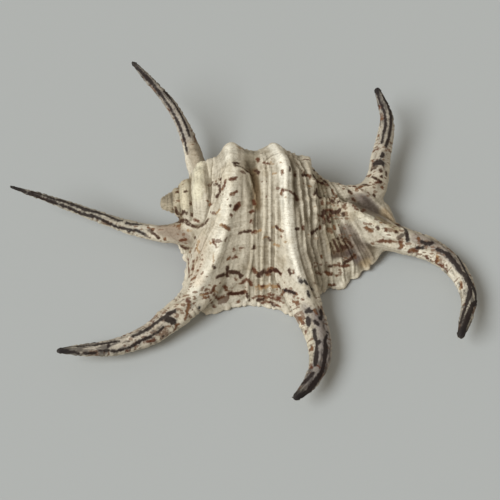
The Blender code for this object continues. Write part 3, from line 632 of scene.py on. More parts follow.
# ---- Colour pattern ----
# The pigment is laid down at the growing lip: dashes and blotches across the cords, and two
# dark stripes along each spine. A table holds its long strokes, lines in plan of (x, y, half
# width) in mm, and by half width its dashes, each as where it starts and how far it runs.
BLACK_BROWN = ([
    [(23.8, -35.6, 0.48), (24, -38, 0.58), (24.6, -40.2, 0.48), (24.6, -41.6, 0.23),
    (24.4, -43, 0.58), (24.4, -45.6, 0.87), (24, -48.2, 0.77), (23.8, -50.2, 0.29)],
    [(22.8, -53.4, 0.58), (21.4, -55.2, 0.77), (19, -57.6, 0.87)], [(28.6, -36.8, 0.42),
    (27.8, -39.4, 0.58), (28, -42.8, 0.89), (27.6, -46, 0.83), (27.2, -48.6, 0.64),
    (26.8, -50.8, 0.65), (25.6, -53.8, 0.89), (23.6, -57, 0.96), (21.4, -60.2, 0.92),
    (18.8, -62.8, 0.96), (16.6, -64, 0.77)], [(26.6, -26.8, 0.65), (26.8, -29.6, 0.65),
    (26.2, -30.8, 0.65)], [(-31.2, -29.6, 0.31), (-34.6, -32.2, 0.44), (-38, -34.8, 0.46),
    (-41.8, -37, 0.44), (-43.6, -37.6, 0.39)], [(-48.6, -39.6, 0.35), (-51.8, -40.4, 0.39),
    (-55, -41, 0.39), (-57, -41.6, 0.35), (-60.4, -42, 0.35), (-63.6, -42.6, 0.42)],
    [(-32.2, -33.8, 0.31), (-34.8, -36, 0.42), (-37.8, -37.8, 0.42), (-41.2, -39.4, 0.5),
    (-43.8, -41, 0.37), (-46.2, -42, 0.44), (-49.2, -43, 0.35), (-52.4, -43.2, 0.29),
    (-55.8, -43.8, 0.35)], [(-57.4, -44.4, 0.5), (-61, -44.8, 0.42)], [(-63.2, -45, 0.42),
    (-66.6, -45, 0.5), (-69.4, -44.8, 0.46)], [(79.6, -1.4, 0.39), (85.4, -20, 0.77),
    (83.6, -24.6, 0.81), (82, -28.6, 0.89), (80.4, -32.6, 0.89), (79.2, -35.4, 0.73),
    (78, -38.4, 0.65)], [(71.6, -0.4, 0.54), (74.2, -1.4, 0.64), (76, -2.8, 0.81), (78, -5.6, 0.81),
    (80, -9.2, 0.65), (81.8, -12, 0.73), (83, -15.4, 0.73), (83.2, -19, 0.77), (82, -22, 0.69),
    (80.8, -25.8, 0.44), (79.2, -30, 0.44), (78.2, -32.8, 0.62)], [(66, 2.2, 0.52),
    (68.4, 1.6, 0.52), (70.4, 2.2, 0.52)], [(-84.4, 20, 0.4), (-80.6, 19.4, 0.29),
    (-76.4, 18.2, 0.29), (-71.6, 17.4, 0.37), (-66.6, 15.8, 0.46), (-62.8, 14.6, 0.46),
    (-60, 14.2, 0.37), (-55, 12.8, 0.46), (-51.6, 11.2, 0.35), (-49.2, 10.8, 0.21)],
    [(-47.8, 9.8, 0.37), (-44.4, 9.4, 0.37), (-42, 9.4, 0.27)], [(-91.8, 21.2, 0.29),
    (-89.2, 20.6, 0.42), (-86, 19.6, 0.46), (-82.2, 18.6, 0.42), (-77.2, 17.2, 0.5),
    (-73.4, 16.2, 0.37), (-69.6, 15, 0.4), (-65.8, 13.6, 0.46), (-62.8, 12.8, 0.5), (-59, 12, 0.4),
    (-56, 10.8, 0.4), (-53.2, 9.6, 0.37), (-50.2, 8.6, 0.4), (-48.2, 8, 0.37), (-44.4, 7.2, 0.4)],
    [(51.6, 71.8, 0.27), (51.6, 70, 0.42), (52.2, 67.4, 0.35), (52.8, 65.4, 0.35),
    (53.6, 63.4, 0.44), (54.2, 60.4, 0.39), (54.4, 57.6, 0.46), (54.2, 54, 0.46), (53.4, 51.6, 0.5),
    (53, 49, 0.44), (52.6, 47, 0.37)], [(54.2, 68.6, 0.54), (55.4, 65.8, 0.6), (56, 63.2, 0.54),
    (56.6, 60.8, 0.54), (56.6, 57.8, 0.65), (56.4, 55, 0.54), (55.8, 51.4, 0.46),
    (55.4, 49.4, 0.39), (54.2, 45.6, 0.58)], [(49.4, 38.2, 0.62), (52, 38.4, 0.62),
    (52.6, 37, 0.62)], [(-34, 65.6, 0.62), (-32, 63.2, 0.42), (-30.2, 61, 0.42),
    (-28.6, 58.8, 0.37), (-27, 56.2, 0.37), (-25.6, 53.6, 0.29), (-24.2, 49.6, 0.37)],
    [(-45.2, 73.2, 0.44), (-42.2, 70.6, 0.58), (-39.2, 68, 0.54), (-36.6, 65.2, 0.52),
    (-34, 62.4, 0.37), (-32, 59.8, 0.46), (-30, 56.6, 0.42), (-28, 53, 0.42), (-26.6, 49.6, 0.46),
    (-25.4, 45.2, 0.42), (-24.8, 43, 0.21)], [(-13.4, 15.2, 0.23), (-12, 14.6, 0.23),
    (-11, 12, 0.23), (-12.6, 10.4, 0.23)], [(-5.6, 19.8, 0.35), (-2.6, 20.2, 0.35),
    (0, 19.2, 0.35)], [(-25.2, 7.2, 0.12), (-23.4, 5.6, 0.12), (-21.2, 4.5, 0.12), (-19, 3.4, 0.12),
    (-17.2, 3.4, 0.1)], [(24.4, 24, 0.44), (26.4, 22.4, 0.44), (28.4, 23, 0.44)],
    [(25.6, 18.4, 0.39), (25.2, 16.6, 0.39), (24.4, 14.6, 0.39)], [(31.8, 11.2, 0.52),
    (33.6, 11.2, 0.52), (34.4, 11.6, 0.52)], [(-34.6, -32.6, 0.37), (-32, -30.8, 0.37),
    (-29.4, -29.2, 0.37)], [(30.6, 0.8, 0.15), (32.2, -1.8, 0.35)], [(32, 2.2, 0.15),
    (33.8, -1, 0.42)], [(33.6, 3.2, 0.15), (35.6, -0.2, 0.42)], [(35, 4, 0.15), (37.6, 0.8, 0.46)],
    [(36.8, 4, 0.15), (39.4, 1.6, 0.39)], [(36.2, -4.2, 0.31), (38.6, -2.8, 0.5),
    (40.4, -0.8, 0.39)], [(-24.4, 7.6, 0.2), (-22.2, 5.6, 0.18), (-20.2, 4, 0.16),
    (-17.6, 2.4, 0.16), (-15.8, 3.4, 0.14)], [(-28.4, 11.4, 0.25), (-25.6, 9.8, 0.25),
    (-24.4, 8.8, 0.25)], [(30.4, 11.2, 0.35), (32.2, 11.2, 0.35), (34.2, 11.2, 0.35)],
    [(4.6, -11.4, 0.39), (6.8, -11.4, 0.39), (9, -11.4, 0.39), (11.2, -13.4, 0.39)],
], {
    0.19: [(-4.2, -2, 2, 0.6)],
    0.23: [(-32.4, -36.4, 0.2, 0), (-15.6, 16.2, 1.4, 0), (-11, 16.2, 0, -0.4),
        (-27.8, 9.2, 2.6, -2), (-27.6, 10, 3.2, -2.4)],
    0.25: [(-22.8, 11.8, 0.2, -0.6), (-28.4, 10.2, 0.2, 0)],
    0.27: [(-57.4, -40.2, 0.2, 0), (12.8, -19, 4, -2.4), (-1.2, -17, 1, -1.2),
        (8, -19.4, 1.2, -1), (30.2, -6, 1.2, -0.2), (29.6, 9.8, 0.2, -0.6), (30.4, 8.2, 0.2, -0.8)],
    0.29: [(-7.4, 5, 0.2, 0.4), (-6.2, 21, 1.8, 1), (-27.8, 17.2, 0.2, -0.2),
        (-22, 8.6, 0, -0.4), (16.8, 20, 0.2, -1), (-8, -17.6, 5.4, 1.2), (-13.8, -13.4, 0.6, -0.2),
        (40, 20, 0.6, -0.8), (28.8, 10.6, 0.2, -0.8), (27.4, 25, 2.6, -0.8)],
    0.31: [(26.6, -53.6, 0.2, 0), (-25.8, 10, 1.6, -1), (-21, 1.2, 0.4, -0.6),
        (25.4, 18.8, 0.6, -2.4)],
    0.33: [(64, 0.4, 2.6, 0), (-46.8, 7, 0.2, 0), (-2.2, -1.4, 2.2, 0.6), (3, -18.2, 2.2, 0.2),
        (-19, -25.6, 0, -0.2)],
    0.35: [(28.8, -35.4, 0.2, 0), (-52.2, -40.8, -0.2, -1.4), (-24.8, 15.4, 0.6, 0.2),
        (-28.4, 11.6, 1, -1), (24.4, 27.8, 2, -0.2), (38.4, 22.8, 1, -0.6), (9.6, 0.2, 0.6, -0.4)],
    0.37: [(22, -27.4, 0, -0.4), (30, 9.4, -0.2, -1.8), (28.2, 7, 0, -0.6), (1.4, -5, 0, -0.4),
        (-26.6, 2, 3, -1.8), (-38.4, 6.6, 3.2, -2.6), (44.2, 27, 1.8, -1), (48.4, 22.6, 0.2, -0.2),
        (51.8, 31.6, -0.2, -0.4), (53.8, 33.8, 0, -0.8)],
    0.39: [(-43.8, 7.2, 5, -2.6), (-39, 6.8, 3.8, -2.8), (48.2, 35.2, 1.4, 0.8),
        (53.8, 34.2, 0, -0.4), (51, 29.2, 0.2, -0.4), (-5.6, 4.8, 0.8, 1), (15, 19.8, 0, -1),
        (19.8, 20.4, 1.4, 0.6), (7, -2.6, 0.6, -1), (23.2, 0.8, 2.6, 2.8), (20.4, -17.6, 1, -1.2),
        (22.4, -18.4, 0.6, -0.8), (21.6, -21.4, 0.6, -1.6)],
    0.4: [(17.2, -1.6, 0.8, 0.4)],
    0.42: [(7.2, -11.6, 0.4, 0.6), (48, 31.2, 1.4, -1.8)],
    0.44: [(20.8, -28.2, 2, -0.4), (25.4, 16.2, 1.4, -0.4), (31.6, 15.6, 0.2, -1),
        (33.8, 15.2, 0, -1), (27.6, 9.2, 0.8, 1.8), (35.6, 10.4, 0, -0.6), (56.2, 5.2, 0.4, -0.2)],
    0.46: [(-41.4, 69.6, 0.2, -0.2), (2, 21, 1.2, -1.4), (14.6, -14, 0.6, -1.4),
        (18.4, -17.2, 0.8, -1.4), (-8.6, -11.6, 0, -2), (-4.2, -12.2, 1, -0.4), (-31, -29.2, 3, 1)],
    0.5: [(57, 3.2, 1.6, 1), (34.8, 0.8, 2, -0.4), (48.2, 35.6, 1.4, -0.2)],
    0.54: [(48.8, 6.2, 0.4, -0.4)],
    0.56: [(52.8, 41.8, -0.6, -1.2)],
    0.58: [(24.2, -32.4, 1, -1), (59.8, 6.6, 0.8, -4), (16.6, 12.2, 1.2, -1.6),
        (-4, -12.2, 0.4, -0.6), (-12.4, -15.6, 2.4, 1.6), (-8, -12.4, 3.6, 0.4)],
    0.65: [(51.4, 34.4, 0.2, -0.6)],
    0.69: [(3.4, -12.2, 1.6, 1.2)],
    0.77: [(25.4, -40.4, 0, -0.4), (49.4, 37.4, 3.2, 0.2)],
    0.85: [(57.2, 9.8, 2.6, -2.4)],
    0.96: [(21.6, -31, 0.2, -1.8)],
    1.04: [(-31, -31, 2.4, -0.6)],
})
RED_BROWN = ([
    [(18.8, -30, 0.58), (19.6, -31.6, 0.69)], [(-28.2, -33.6, 0.37), (-27.6, -32.6, 0.37),
    (-26.6, -32, 0.37)], [(57.8, 1.8, 0.54), (58.2, 1, 0.54), (57.8, 0.4, 0.54)],
    [(61.4, -0.4, 0.62), (62.6, 0, 0.62), (63.4, -0.2, 0.62)], [(-3, -14.2, 0.39),
    (-1.2, -13.4, 0.39), (0.2, -13.6, 0.39), (0.6, -14.4, 0.39)], [(12, -18, 0.39),
    (15, -20.4, 0.39), (17.4, -21.6, 0.39)], [(7, -16.8, 0.23), (8.4, -17.4, 0.23),
    (9.2, -17.2, 0.23)], [(-8.4, -17.6, 0.5), (-5.4, -17, 0.5), (-1.8, -16.2, 0.5)],
    [(-23.6, -24.4, 0.54), (-22.6, -24.8, 0.54), (-23.2, -26.8, 0.54)], [(-23.4, -27, 0.37),
    (-23.6, -28.4, 0.37), (-24.4, -30.4, 0.37)], [(1.2, -17.6, 0.21), (3.2, -17.2, 0.21),
    (5, -17.6, 0.21), (7, -17.6, 0.21), (10, -18.6, 0.21), (12.8, -20, 0.21)], [(4.6, -19, 0.19),
    (6.8, -18.8, 0.19), (9.2, -19.8, 0.19), (11.4, -20.8, 0.19)],
], {
    0.19: [(75.4, -6.2, 0, -1.2), (12.6, 11.6, 3.6, 0)],
    0.21: [(33.2, -8.6, 1.4, 0.4)],
    0.23: [(5.2, 23.6, 1.8, -1.2), (34.8, 26, 1.4, -0.2), (10.2, -0.2, 2, -2.4),
        (36.4, 12.2, 0.6, -0.6)],
    0.25: [(52.8, 59, 1, -0.2), (0, 5, 1.6, 0.6), (-28.8, 7.4, 2, -0.6), (30.4, -11.2, 2.4, 0),
        (-13.6, -5.8, 1.2, -1.6), (30.2, 17.6, 0.2, -1.4), (36, 15.2, 0.2, -1),
        (33.4, 19.8, 0, -2.2), (32.2, 7, 0.4, -1), (31, 5.2, 0.2, -0.8), (29.6, 5.2, 0.2, -0.6),
        (22.6, 20.4, 0.2, -0.6)],
    0.27: [(24.8, -50.4, 0.6, -0.8), (-46.8, -36.6, 0.2, 0), (71.6, -4.2, 0.2, 0.8),
        (80.2, -14.2, 0.2, -1.8), (51.4, 51.6, 0, -0.8), (46, 33.2, 1.4, -0.8), (10, -18, 2.2, -1),
        (-15.2, -22.2, 1.6, 0.6), (32, 21, 0.2, -0.6), (26.2, 7.4, 0, -0.6), (27.8, 8.8, 0.4, -0.6),
        (28.2, 7.8, 0.4, -0.8), (26.6, 5.2, 0.2, -0.6), (34, 16, 0.2, -1), (20.6, 22, 0.2, -0.8)],
    0.29: [(20.8, -34.8, 0, -0.8), (-39.4, 7.8, 2.4, -0.8), (48.6, 39.8, 0.2, 0),
        (51.8, 27.2, 0.2, -0.2), (11.6, 10.4, 0.8, 1.4), (31.8, 21.4, 0, -0.4),
        (16.4, -14.6, 0, -0.6), (-21.8, -7.4, 0.6, -0.8), (-21.8, -9.2, 0.4, -0.6),
        (-21.8, -11, 0.4, -0.4), (40.2, 13.2, 0.8, -1.6), (39.6, 14.4, 0.6, -3),
        (47.2, 2.6, 0, -0.2)],
    0.31: [(-16, 10, 0.2, -0.2), (-21.6, 6.4, 2.2, -1.4), (12.2, 18, 0, -0.8),
        (21.2, 21, 1.6, 0.2), (27.8, 22.8, 2.6, 0.4), (11.6, -3.6, 0.2, -0.4), (-3.4, -5.8, 1, 0.2),
        (19.6, -24, 0.2, -0.2), (-8.4, -9.6, 0.8, 0.8), (-14, -19.6, 0.8, 1.2),
        (-13.8, -20.6, 3.8, 2), (-23.8, -3.2, 0.4, -3.8), (-23.4, -8.6, 0.4, -5),
        (39, 25.2, 1.8, 0.6)],
    0.33: [(23, -41.4, 0.2, -1.4), (26, 8.6, 0.2, -0.4), (-6.2, -6.6, 0.2, -0.2),
        (-5.6, -13.6, 0.2, -0.2), (-16.8, -20.4, 1.2, 0.6), (-19.8, -13.6, 0.4, 0)],
    0.35: [(22.2, -42.6, 0.2, 0), (-36.2, -31.6, 0.2, 0), (64.6, 3.6, 0.2, -0.8),
        (52.2, 64.6, 0.8, -0.6), (0.4, 2.4, 0, -0.4), (11.2, -13.4, 0.4, -0.6),
        (25.6, -9.8, 1.4, 0.4), (-6.2, -8.8, 0.8, 0.4), (-4.6, -19.2, 0.4, 0.4),
        (41.4, 23.6, 2, 1.8)],
    0.37: [(-45.6, -42.4, 0.2, 0.2), (-7.6, 13.8, 2.4, 0.8), (-7.2, 9, 2.2, 1.6),
        (27.6, 13.8, 0, -0.6), (16.2, -22.2, 0.4, 0), (27.2, -4.2, 0.2, -0.2), (-32.8, 3.4, 0.2, 0),
        (-17.4, -22.6, 2, 0.8)],
    0.39: [(72.4, -4.8, 2.8, -2.6), (-32.6, 59.6, 0.2, -0.4), (-9.2, 14, -1.2, -2),
        (1.4, 9.2, 0.4, -1.2), (2.8, 26.6, 0.4, -1.8), (32.4, 17.4, 0, -0.8), (29, 11.2, 2, 0.6),
        (30.6, 10.4, 0, -1.2), (0.8, -1.6, 1, 0.8), (19.8, 0.6, 0.2, -0.6), (1, -10.4, 1.2, -1),
        (4.2, -15, 0.6, 0), (35.4, -5.6, 2.2, 0.8), (28.8, -8.2, 2.6, -0.6), (-22, -16.2, 1.6, 0.4),
        (49.4, 2.4, 4.8, 0)],
    0.4: [(49.2, 44.8, 2, -0.2), (52.2, 5.8, 0.2, -0.6)],
    0.42: [(22.2, -49, 0.4, -1.8), (35.8, 12.8, 1, 1.6), (-16.6, -21.4, 2.2, 1),
        (49.2, 27.6, 2.2, 1.2)],
    0.44: [(-39.2, -39.2, 3.6, 0.8), (68, -2.2, 0.6, -0.4), (-7, 2.4, 0.2, -0.2),
        (-15, 9, 0.2, -0.8), (16.2, -23.8, 2, -1.2), (-26.6, 2.2, 2, -0.2), (42.8, 11.8, 1.4, 3.6)],
    0.46: [(24, -28, 1, -1.2), (10.4, -15.6, 1, -0.8), (32.6, -5.6, 2, 0.2)],
    0.48: [(-9.8, -1.2, 2, -0.6)],
    0.5: [(8.4, -11, 2.2, -1.4)],
    0.52: [(-9.4, -16, 0.6, -0.8), (44.6, 6.4, 1.8, -1)],
    0.81: [(6.8, -11.6, 1, 0.8)],
    0.87: [(-5.4, 5, 1, 1.4)],
})
ORANGE_BROWN = ([
    [(71.8, -2.4, 0.56), (72.2, -3.8, 0.56), (71.6, -4.2, 0.56)], [(80, -13.8, 0.58),
    (80.6, -15.2, 0.58), (79.8, -16.4, 0.58)], [(2.2, -15, 0.65), (5.4, -15.2, 0.65),
    (7.8, -15, 0.65), (11, -16, 0.65)], [(-20.2, -0.8, 0.46), (-19.2, -2.8, 0.46),
    (-20.2, -3.4, 0.46), (-19.2, -6.2, 0.46)],
], {
    0.25: [(10.8, 21.4, 1, 0.4), (24.4, -0.4, 2, 2), (13.8, -21.8, 1, -1.2),
        (-13.8, -9.4, 0.2, -4)],
    0.27: [(23.8, 9.8, 1.2, 0.6)],
    0.29: [(13, 8.8, 0.2, 0.4), (21.2, 16.8, 2.2, 0.8)],
    0.31: [(26.2, -47, 0, -1.2)],
    0.35: [(8, 23.2, 0.4, -0.8), (22.2, -0.8, 0, -0.8), (40.2, 11, 0, -0.4)],
    0.39: [(2.4, -15.8, 2.2, 0), (-13.4, -19.6, 1.6, 1.2), (-18.8, -22.2, 2.2, 0.6)],
    0.42: [(13, -5.8, 0.2, -0.2)],
    0.46: [(-12.6, 4, 1.6, 0.6), (8.4, 0.4, 1.4, -0.2), (9.2, -4.6, 1.8, -1.2),
        (-15.2, -5, 0.4, -0.8)],
    0.48: [(-5.2, 32.6, 1.4, -0.6), (1.8, -1, 2.2, 0.6)],
    0.5: [(-23.8, 4.2, 1.2, -0.4), (8.6, 18.4, 1, -0.2), (4.8, -3.2, 1.6, 1),
        (49.8, 8.6, 0.6, -0.4)],
    0.62: [(-10.8, -0.8, 1.4, -0.4)],
})
# Tint washes: colour, strength and a plan stroke of (x, y, half width) in mm. Most are the shell's own
# colour; a few, marked below, are painted light.
WASHES_AND_PAINTED_LIGHT = [
    # Painted highlight along the crest of the left rib.
    ("#ddd6c4", 0.8, [(-8, 31, 2.6), (-7, 20.5, 2.4), (-8, 4.5, 2.6), (-13, -11, 2.4), (-21, -22, 2.4)]),
    # Painted highlight along the crest of the right rib.
    ("#e6e0d0", 0.8, [(9.5, 33.5, 2.4), (12, 25.5, 2.4), (14, 12, 2.6), (14.6, 0, 2.2), (19, -17, 1.8)]),
    # Painted shade in the upper valley between the two ribs.
    ("#9b907a", 0.8, [(0.5, 31, 2.2), (0.5, 20, 2.4), (1.5, 8, 2)]),
    ("#bdb29c", 0.6, [(3.5, 10, 2.6), (3, -3, 3), (3, -14, 3)]),
    # Brown tint, deepened with painted shade, down the valley between the ribs.
    ("#8d7046", 0.75, [(1.2, 21, 0.8), (2.4, 14, 1.0), (2.6, 7, 0.8)]),
    # Painted shade in the groove right of the right rib.
    ("#958a77", 0.75, [(16, 25, 1.4), (17, 18, 1.4), (17.6, 10, 1.2)]),
    ("#8f8169", 0.6, [(22, -6, 1.4), (24, -12, 2), (25.5, -17, 2.6)]),
    ("#a1967e", 0.75, [(26.5, 24, 2.2), (30, 14, 2.6), (31, 7, 2.4)]),
    ("#a09379", 0.8, [(30.5, 4, 2), (32.5, -1, 2.2), (35, 0.5, 3)]),
    ("#5f4c3e", 0.9, [(32.5, -2.6, 1.3), (35, -1.6, 1.5), (37, -1.4, 1.3)]),
    ("#5b4a46", 0.85, [(38.5, 0.2, 1.3), (41, -2, 1.6), (43.5, -2.4, 1.5), (45.6, -0.4, 1.4)]),
    ("#7b6c60", 0.8, [(37, 6, 2.4), (41, 3, 2.4), (45, 2, 2)]),
    ("#8a7d68", 0.7, [(46, -1, 2), (47, 2, 2)]),
    ("#d8cfba", 0.8, [(33.5, -5.4, 1.6), (38, -5, 1.6)]),
    ("#ece5d6", 0.9, [(32.6, -10.4, 1.4), (35.8, -9.2, 1.8)]),
    ("#b39e7c", 0.7, [(43.6, -3, 1.4), (45.4, -2.4, 1.4)]),
    ("#d6cdb8", 0.8, [(31, -9.5, 2.2), (36, -9, 2.2), (41, -6, 2)]),
    ("#867a6c", 0.9, [(41, 19, 3), (46, 16, 4), (50, 12, 3.4)]),
    ("#7a6e66", 0.8, [(44, 20, 2), (48.5, 17.5, 2)]),
    ("#a48c69", 0.7, [(53, 17, 1.8), (56, 11, 1.8)]),
    ("#dcd5c1", 0.85, [(41.5, 11.5, 2.6), (47, 8.5, 2.8), (53, 5.5, 3)]),
    ("#94825f", 0.7, [(50, 11, 1.2), (56, 6.6, 1.4)]),
    ("#a2957d", 0.8, [(-32, 14, 4), (-30, 20, 4), (-29, 8, 4)]),
    ("#7f7461", 0.75, [(-32.6, 16, 1.4), (-31, 15.6, 2)]),
    ("#bfb499", 0.75, [(-25.5, 22, 3.2), (-25.5, 12, 3.2)]),
    ("#d3cbb0", 0.7, [(-20.6, 29, 2), (-19.8, 20, 2.2), (-20.4, 12, 2)]),
    ("#cdc3ad", 0.7, [(-16.4, 26, 1.4), (-16, 16, 1.4)]),
    ("#c6b7a1", 0.7, [(-18, -4, 3), (-20, -12, 3), (-20, -17, 2.4)]),
    ("#8d7b6a", 0.8, [(-34, 7, 2.4), (-29, 4.6, 2.6), (-25, 2.4, 2.2)]),
    ("#9c8f7b", 0.85, [(-17.4, 33, 4), (-20, 42, 3.6), (-23, 50, 2.4)]),
    ("#7d6c5c", 0.6, [(-15.6, 36, 1.6), (-18.6, 44, 1.6)]),
    ("#e2dac8", 0.8, [(-10, -20, 1.2), (-4, -18.8, 1.3), (2, -18.2, 1.3), (8, -19.8, 1.4),
                      (14, -23.4, 1.2)]),
    ("#8b8078", 0.6, [(20.4, -27, 1.4), (24, -31, 2)]),
    ("#9f968a", 0.8, [(-25, 50, 3), (-32, 61, 3), (-44, 73, 2)]),
    ("#b4ac9b", 0.8, [(-42, 8.2, 2.6), (-56, 12, 2.6), (-72, 17, 2.2), (-88, 20.6, 1.6)]),
    ("#c9bdab", 0.8, [(-33, -31, 4), (-45, -38.5, 3.4), (-60, -42.6, 2.6)]),
    ("#7e7472", 0.8, [(26, -29, 2.2), (28, -38, 2.6), (27, -48, 2.6), (21, -58, 2.4)]),
    ("#d2c7af", 0.85, [(19.6, -32, 1.6), (21.4, -38, 1.7), (22, -46, 1.5), (20, -52, 1.2)]),
    ("#8d8078", 0.7, [(64, 3.4, 2), (73, 0.6, 2.2), (80, -7, 2)]),
    ("#ddd4c0", 0.85, [(60, 0.4, 2), (67, -1.6, 2), (74, -6, 2), (79, -14, 1.8), (79, -23, 1.2)]),
    ("#a3998a", 0.7, [(50.6, 37, 3.4), (53, 46, 3.2), (55.4, 57, 2.8), (53, 69, 2.2)]),
]
SPECKLED = [
    (0.9, [(-27, 4, 3), (-22, -2, 3), (-20, -10, 4), (-20, -18, 4)]),
    (0.8, [(-28, 12, 3), (-26, 22, 3)]), (0.7, [(-12, 16, 2), (-9, 8, 2.4)]),
    (0.75, [(-16, -21, 3), (-8, -16, 3), (4, -16, 3.4), (14, -20, 3.4), (20, -26, 3)]),
    (1.0, [(27, 22, 3), (30, 12, 3), (34, 12, 3), (36, 4, 3)]),
    (0.85, [(24, -8, 2.4), (32, -7, 3), (38, -4, 3)]), (0.8, [(18, 26, 2), (22, 18, 2.4)]),
    (1.0, [(44, 10, 3), (54, 5, 4), (64, 2, 4), (74, -4, 3)]),
    (0.8, [(-28, 4, 3), (-38, 6, 3), (-48, 9, 3)]),
    (1.0, [(-22, -24, 4), (-30, -30, 4), (-44, -38, 4)]),
    (0.9, [(38, 24, 3), (48, 26, 4), (51, 36, 4), (54, 48, 3)]), (0.6, [(-16, 32, 4), (-22, 46, 3)]),
]
BARE_SHELL = "#cbc1ad"
FEW_SPECKS = 0.3
FAR_OUTSIDE = -2.0
FACES_DOWN = -0.15
GLAZE_FADES = (17, 23)


def linear(colour):
    """Linear red, green, blue and alpha of an sRGB hex value."""
    parts = np.array([int(colour[start:start + 2], 16) for start in (1, 3, 5)]) / 255
    parts = np.where(parts <= 0.04045, parts / 12.92, ((parts + 0.055) / 1.055) ** 2.4)
    return tuple(parts) + (1.0,)


def inside_stroke(stroke, points, normals):
    """Millimetres inside a plan stroke that is smoothed and dropped on to the skin, or less than 0."""
    stroke = np.array(stroke, float)
    reach = np.linalg.norm(np.diff(stroke[:, :2], axis=0), axis=1).sum()
    count = max(len(stroke), int(reach / DROP_STEP) + 1)
    plan = smooth_path(stroke, count) if len(stroke) > 2 else np.linspace(stroke[0], stroke[1], count)
    path, held = drop_on_skin(plan)
    return skin_gap(points, normals, path, plan[held, 2])


def stroke_field(table, points, normals, seen):
    """Millimetres inside the nearest stroke, less than 0 outside it, on the upper side only."""
    long_strokes, dashes = table
    dashes = [[(x, y, width), (x + run, y + rise, width)]
              for width, group in dashes.items() for x, y, run, rise in group]
    field = np.full(len(points), FAR_OUTSIDE)
    for stroke in long_strokes + dashes:
        field = np.maximum(field, inside_stroke(stroke, points, normals))
    return np.where(seen, field, FAR_OUTSIDE)


points, normals, edges = read_mesh(shell.data)
seen = normals[:, 2] > FACES_DOWN
pigment = np.stack([stroke_field(table, points, normals, seen)
                    for table in (RED_BROWN, BLACK_BROWN, ORANGE_BROWN)], axis=1)

ground = np.tile(linear(BARE_SHELL)[:3], (len(points), 1))
# Washes tint the ground; a few of them are painted highlight on rib crests and painted shade in the
# valleys.
for colour, strength, stroke in WASHES_AND_PAINTED_LIGHT:
    soft = strength * (seen * ramp(inside_stroke(stroke, points, normals), -1.6, 0.8))[:, None]
    ground = ground * (1 - soft) + np.array(linear(colour)[:3]) * soft
speckled = np.full(len(points), FEW_SPECKS)
for strength, stroke in SPECKLED:
    spread = strength * ramp(inside_stroke(stroke, points, normals), -2, 1)
    speckled = np.maximum(speckled, spread)

downward = -normals[:, 2]
opening_path = np.array([(x, OPENING_MIDDLE_Y + OPENING_TURN * x, 5) for x, width in OPENING_LINE])
opening_gap = line_gap(points, opening_path)[0]
glaze_end = points[:, 1] + ripple(points, 9, 12, 5)
under = ramp(downward, 0.1, 0.6) * (1 - ramp(glaze_end, *GLAZE_FADES))
under_spine = on_spine * ramp(downward, 0.35, 0.8) * (1 - ramp(spine_share, 0.55, 0.85))
callus = np.maximum(np.maximum(under, under_spine), 1 - ramp(opening_gap, 5, 8))


def keep_values(name, values):
    """Stores three values and a 1 for each point, for the material to read."""
    packed = np.concatenate([values, np.ones((len(values), 1))], axis=1)
    layer = shell.data.attributes.new(name, "FLOAT_COLOR", "POINT")
    layer.data.foreach_set("color", packed.ravel())


keep_values("ground", ground)
keep_values("pigment", pigment)
# The third values of growth and place are those relief heights, read by the material for painted shade
# and painted highlight.
keep_values("growth", np.stack([across, turn, np.clip(relief_height, -1, 1)], axis=1))
keep_values("place", np.stack([callus, free_spine * spine_share, np.clip(broad_height, -2, 2)], axis=1))
keep_values("spine", np.stack([spine_side, spine_length, speckled * seen], axis=1))
keep_values("mouth", np.stack([np.minimum(opening_gap, 60), tooth_mark, 0 * tooth_mark], axis=1))

# ---- The finished skin in the shared frame ----
# The whole shell as one grown piece, moved from the coil's frame in millimetres to the shared
# one in metres. It is held inside the box of the solid that it stands in for.
FRAME_MIDDLE = np.array([-3.3348, 5.5930, 2.1578])
write_points(shell.data, np.clip((points - FRAME_MIDDLE) * METRE, *np.array(cad_box)))
shell.name = "shell_skin"
shell.data.name = "shell_skin"
shell.data.polygons.foreach_set("use_smooth", np.ones(len(shell.data.polygons), bool))
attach(shell, "root")
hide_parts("shell")

# ---- Weathered aragonite ----
# Grown chalk layers under a thin dull outer skin: cream, chalky and finely pitted above, where
# it has worn, and smooth as porcelain on the side that the animal glazed. Sizes are in mm.
CHALK_GRAIN = 0.9
PIT_SIZE = 0.3
STAIN_SIZE = 9
MARK_WANDER = 2
FLECKS_ACROSS, FLECKS_ALONG = 1.1, 0.34
SPECK_STRETCH = (0.42, 1.0, 0.8)
LINES_ACROSS, LINES_ALONG = 0.35, 2.2
STREAKS_ALONG, STREAKS_ROUND = 0.16, 2.1
GLAZE_PALE, GLAZE_DEEP = "#dccbb0", "#c08a5e"
GLAZE_FROM, GLAZE_TO = 26, 3
RELIEF_STRENGTH, RELIEF_DEPTH = 0.5, 0.00035
CHALKY, GLOSSY = 0.7, 0.22

chalk = bpy.data.materials.new("weathered aragonite")
chalk.use_nodes = True
web = chalk.node_tree
web.nodes.clear()


def add(kind, sockets, **settings):
    """Adds a node, sets its settings, sets or links its inputs, and gives its outputs."""
    node = web.nodes.new(kind)
    for key, value in settings.items():
        setattr(node, key, value)
    for key, value in sockets.items():
        if isinstance(value, bpy.types.NodeSocket):
            web.links.new(value, node.inputs[key])
        else:
            node.inputs[key].default_value = value
    return node.outputs


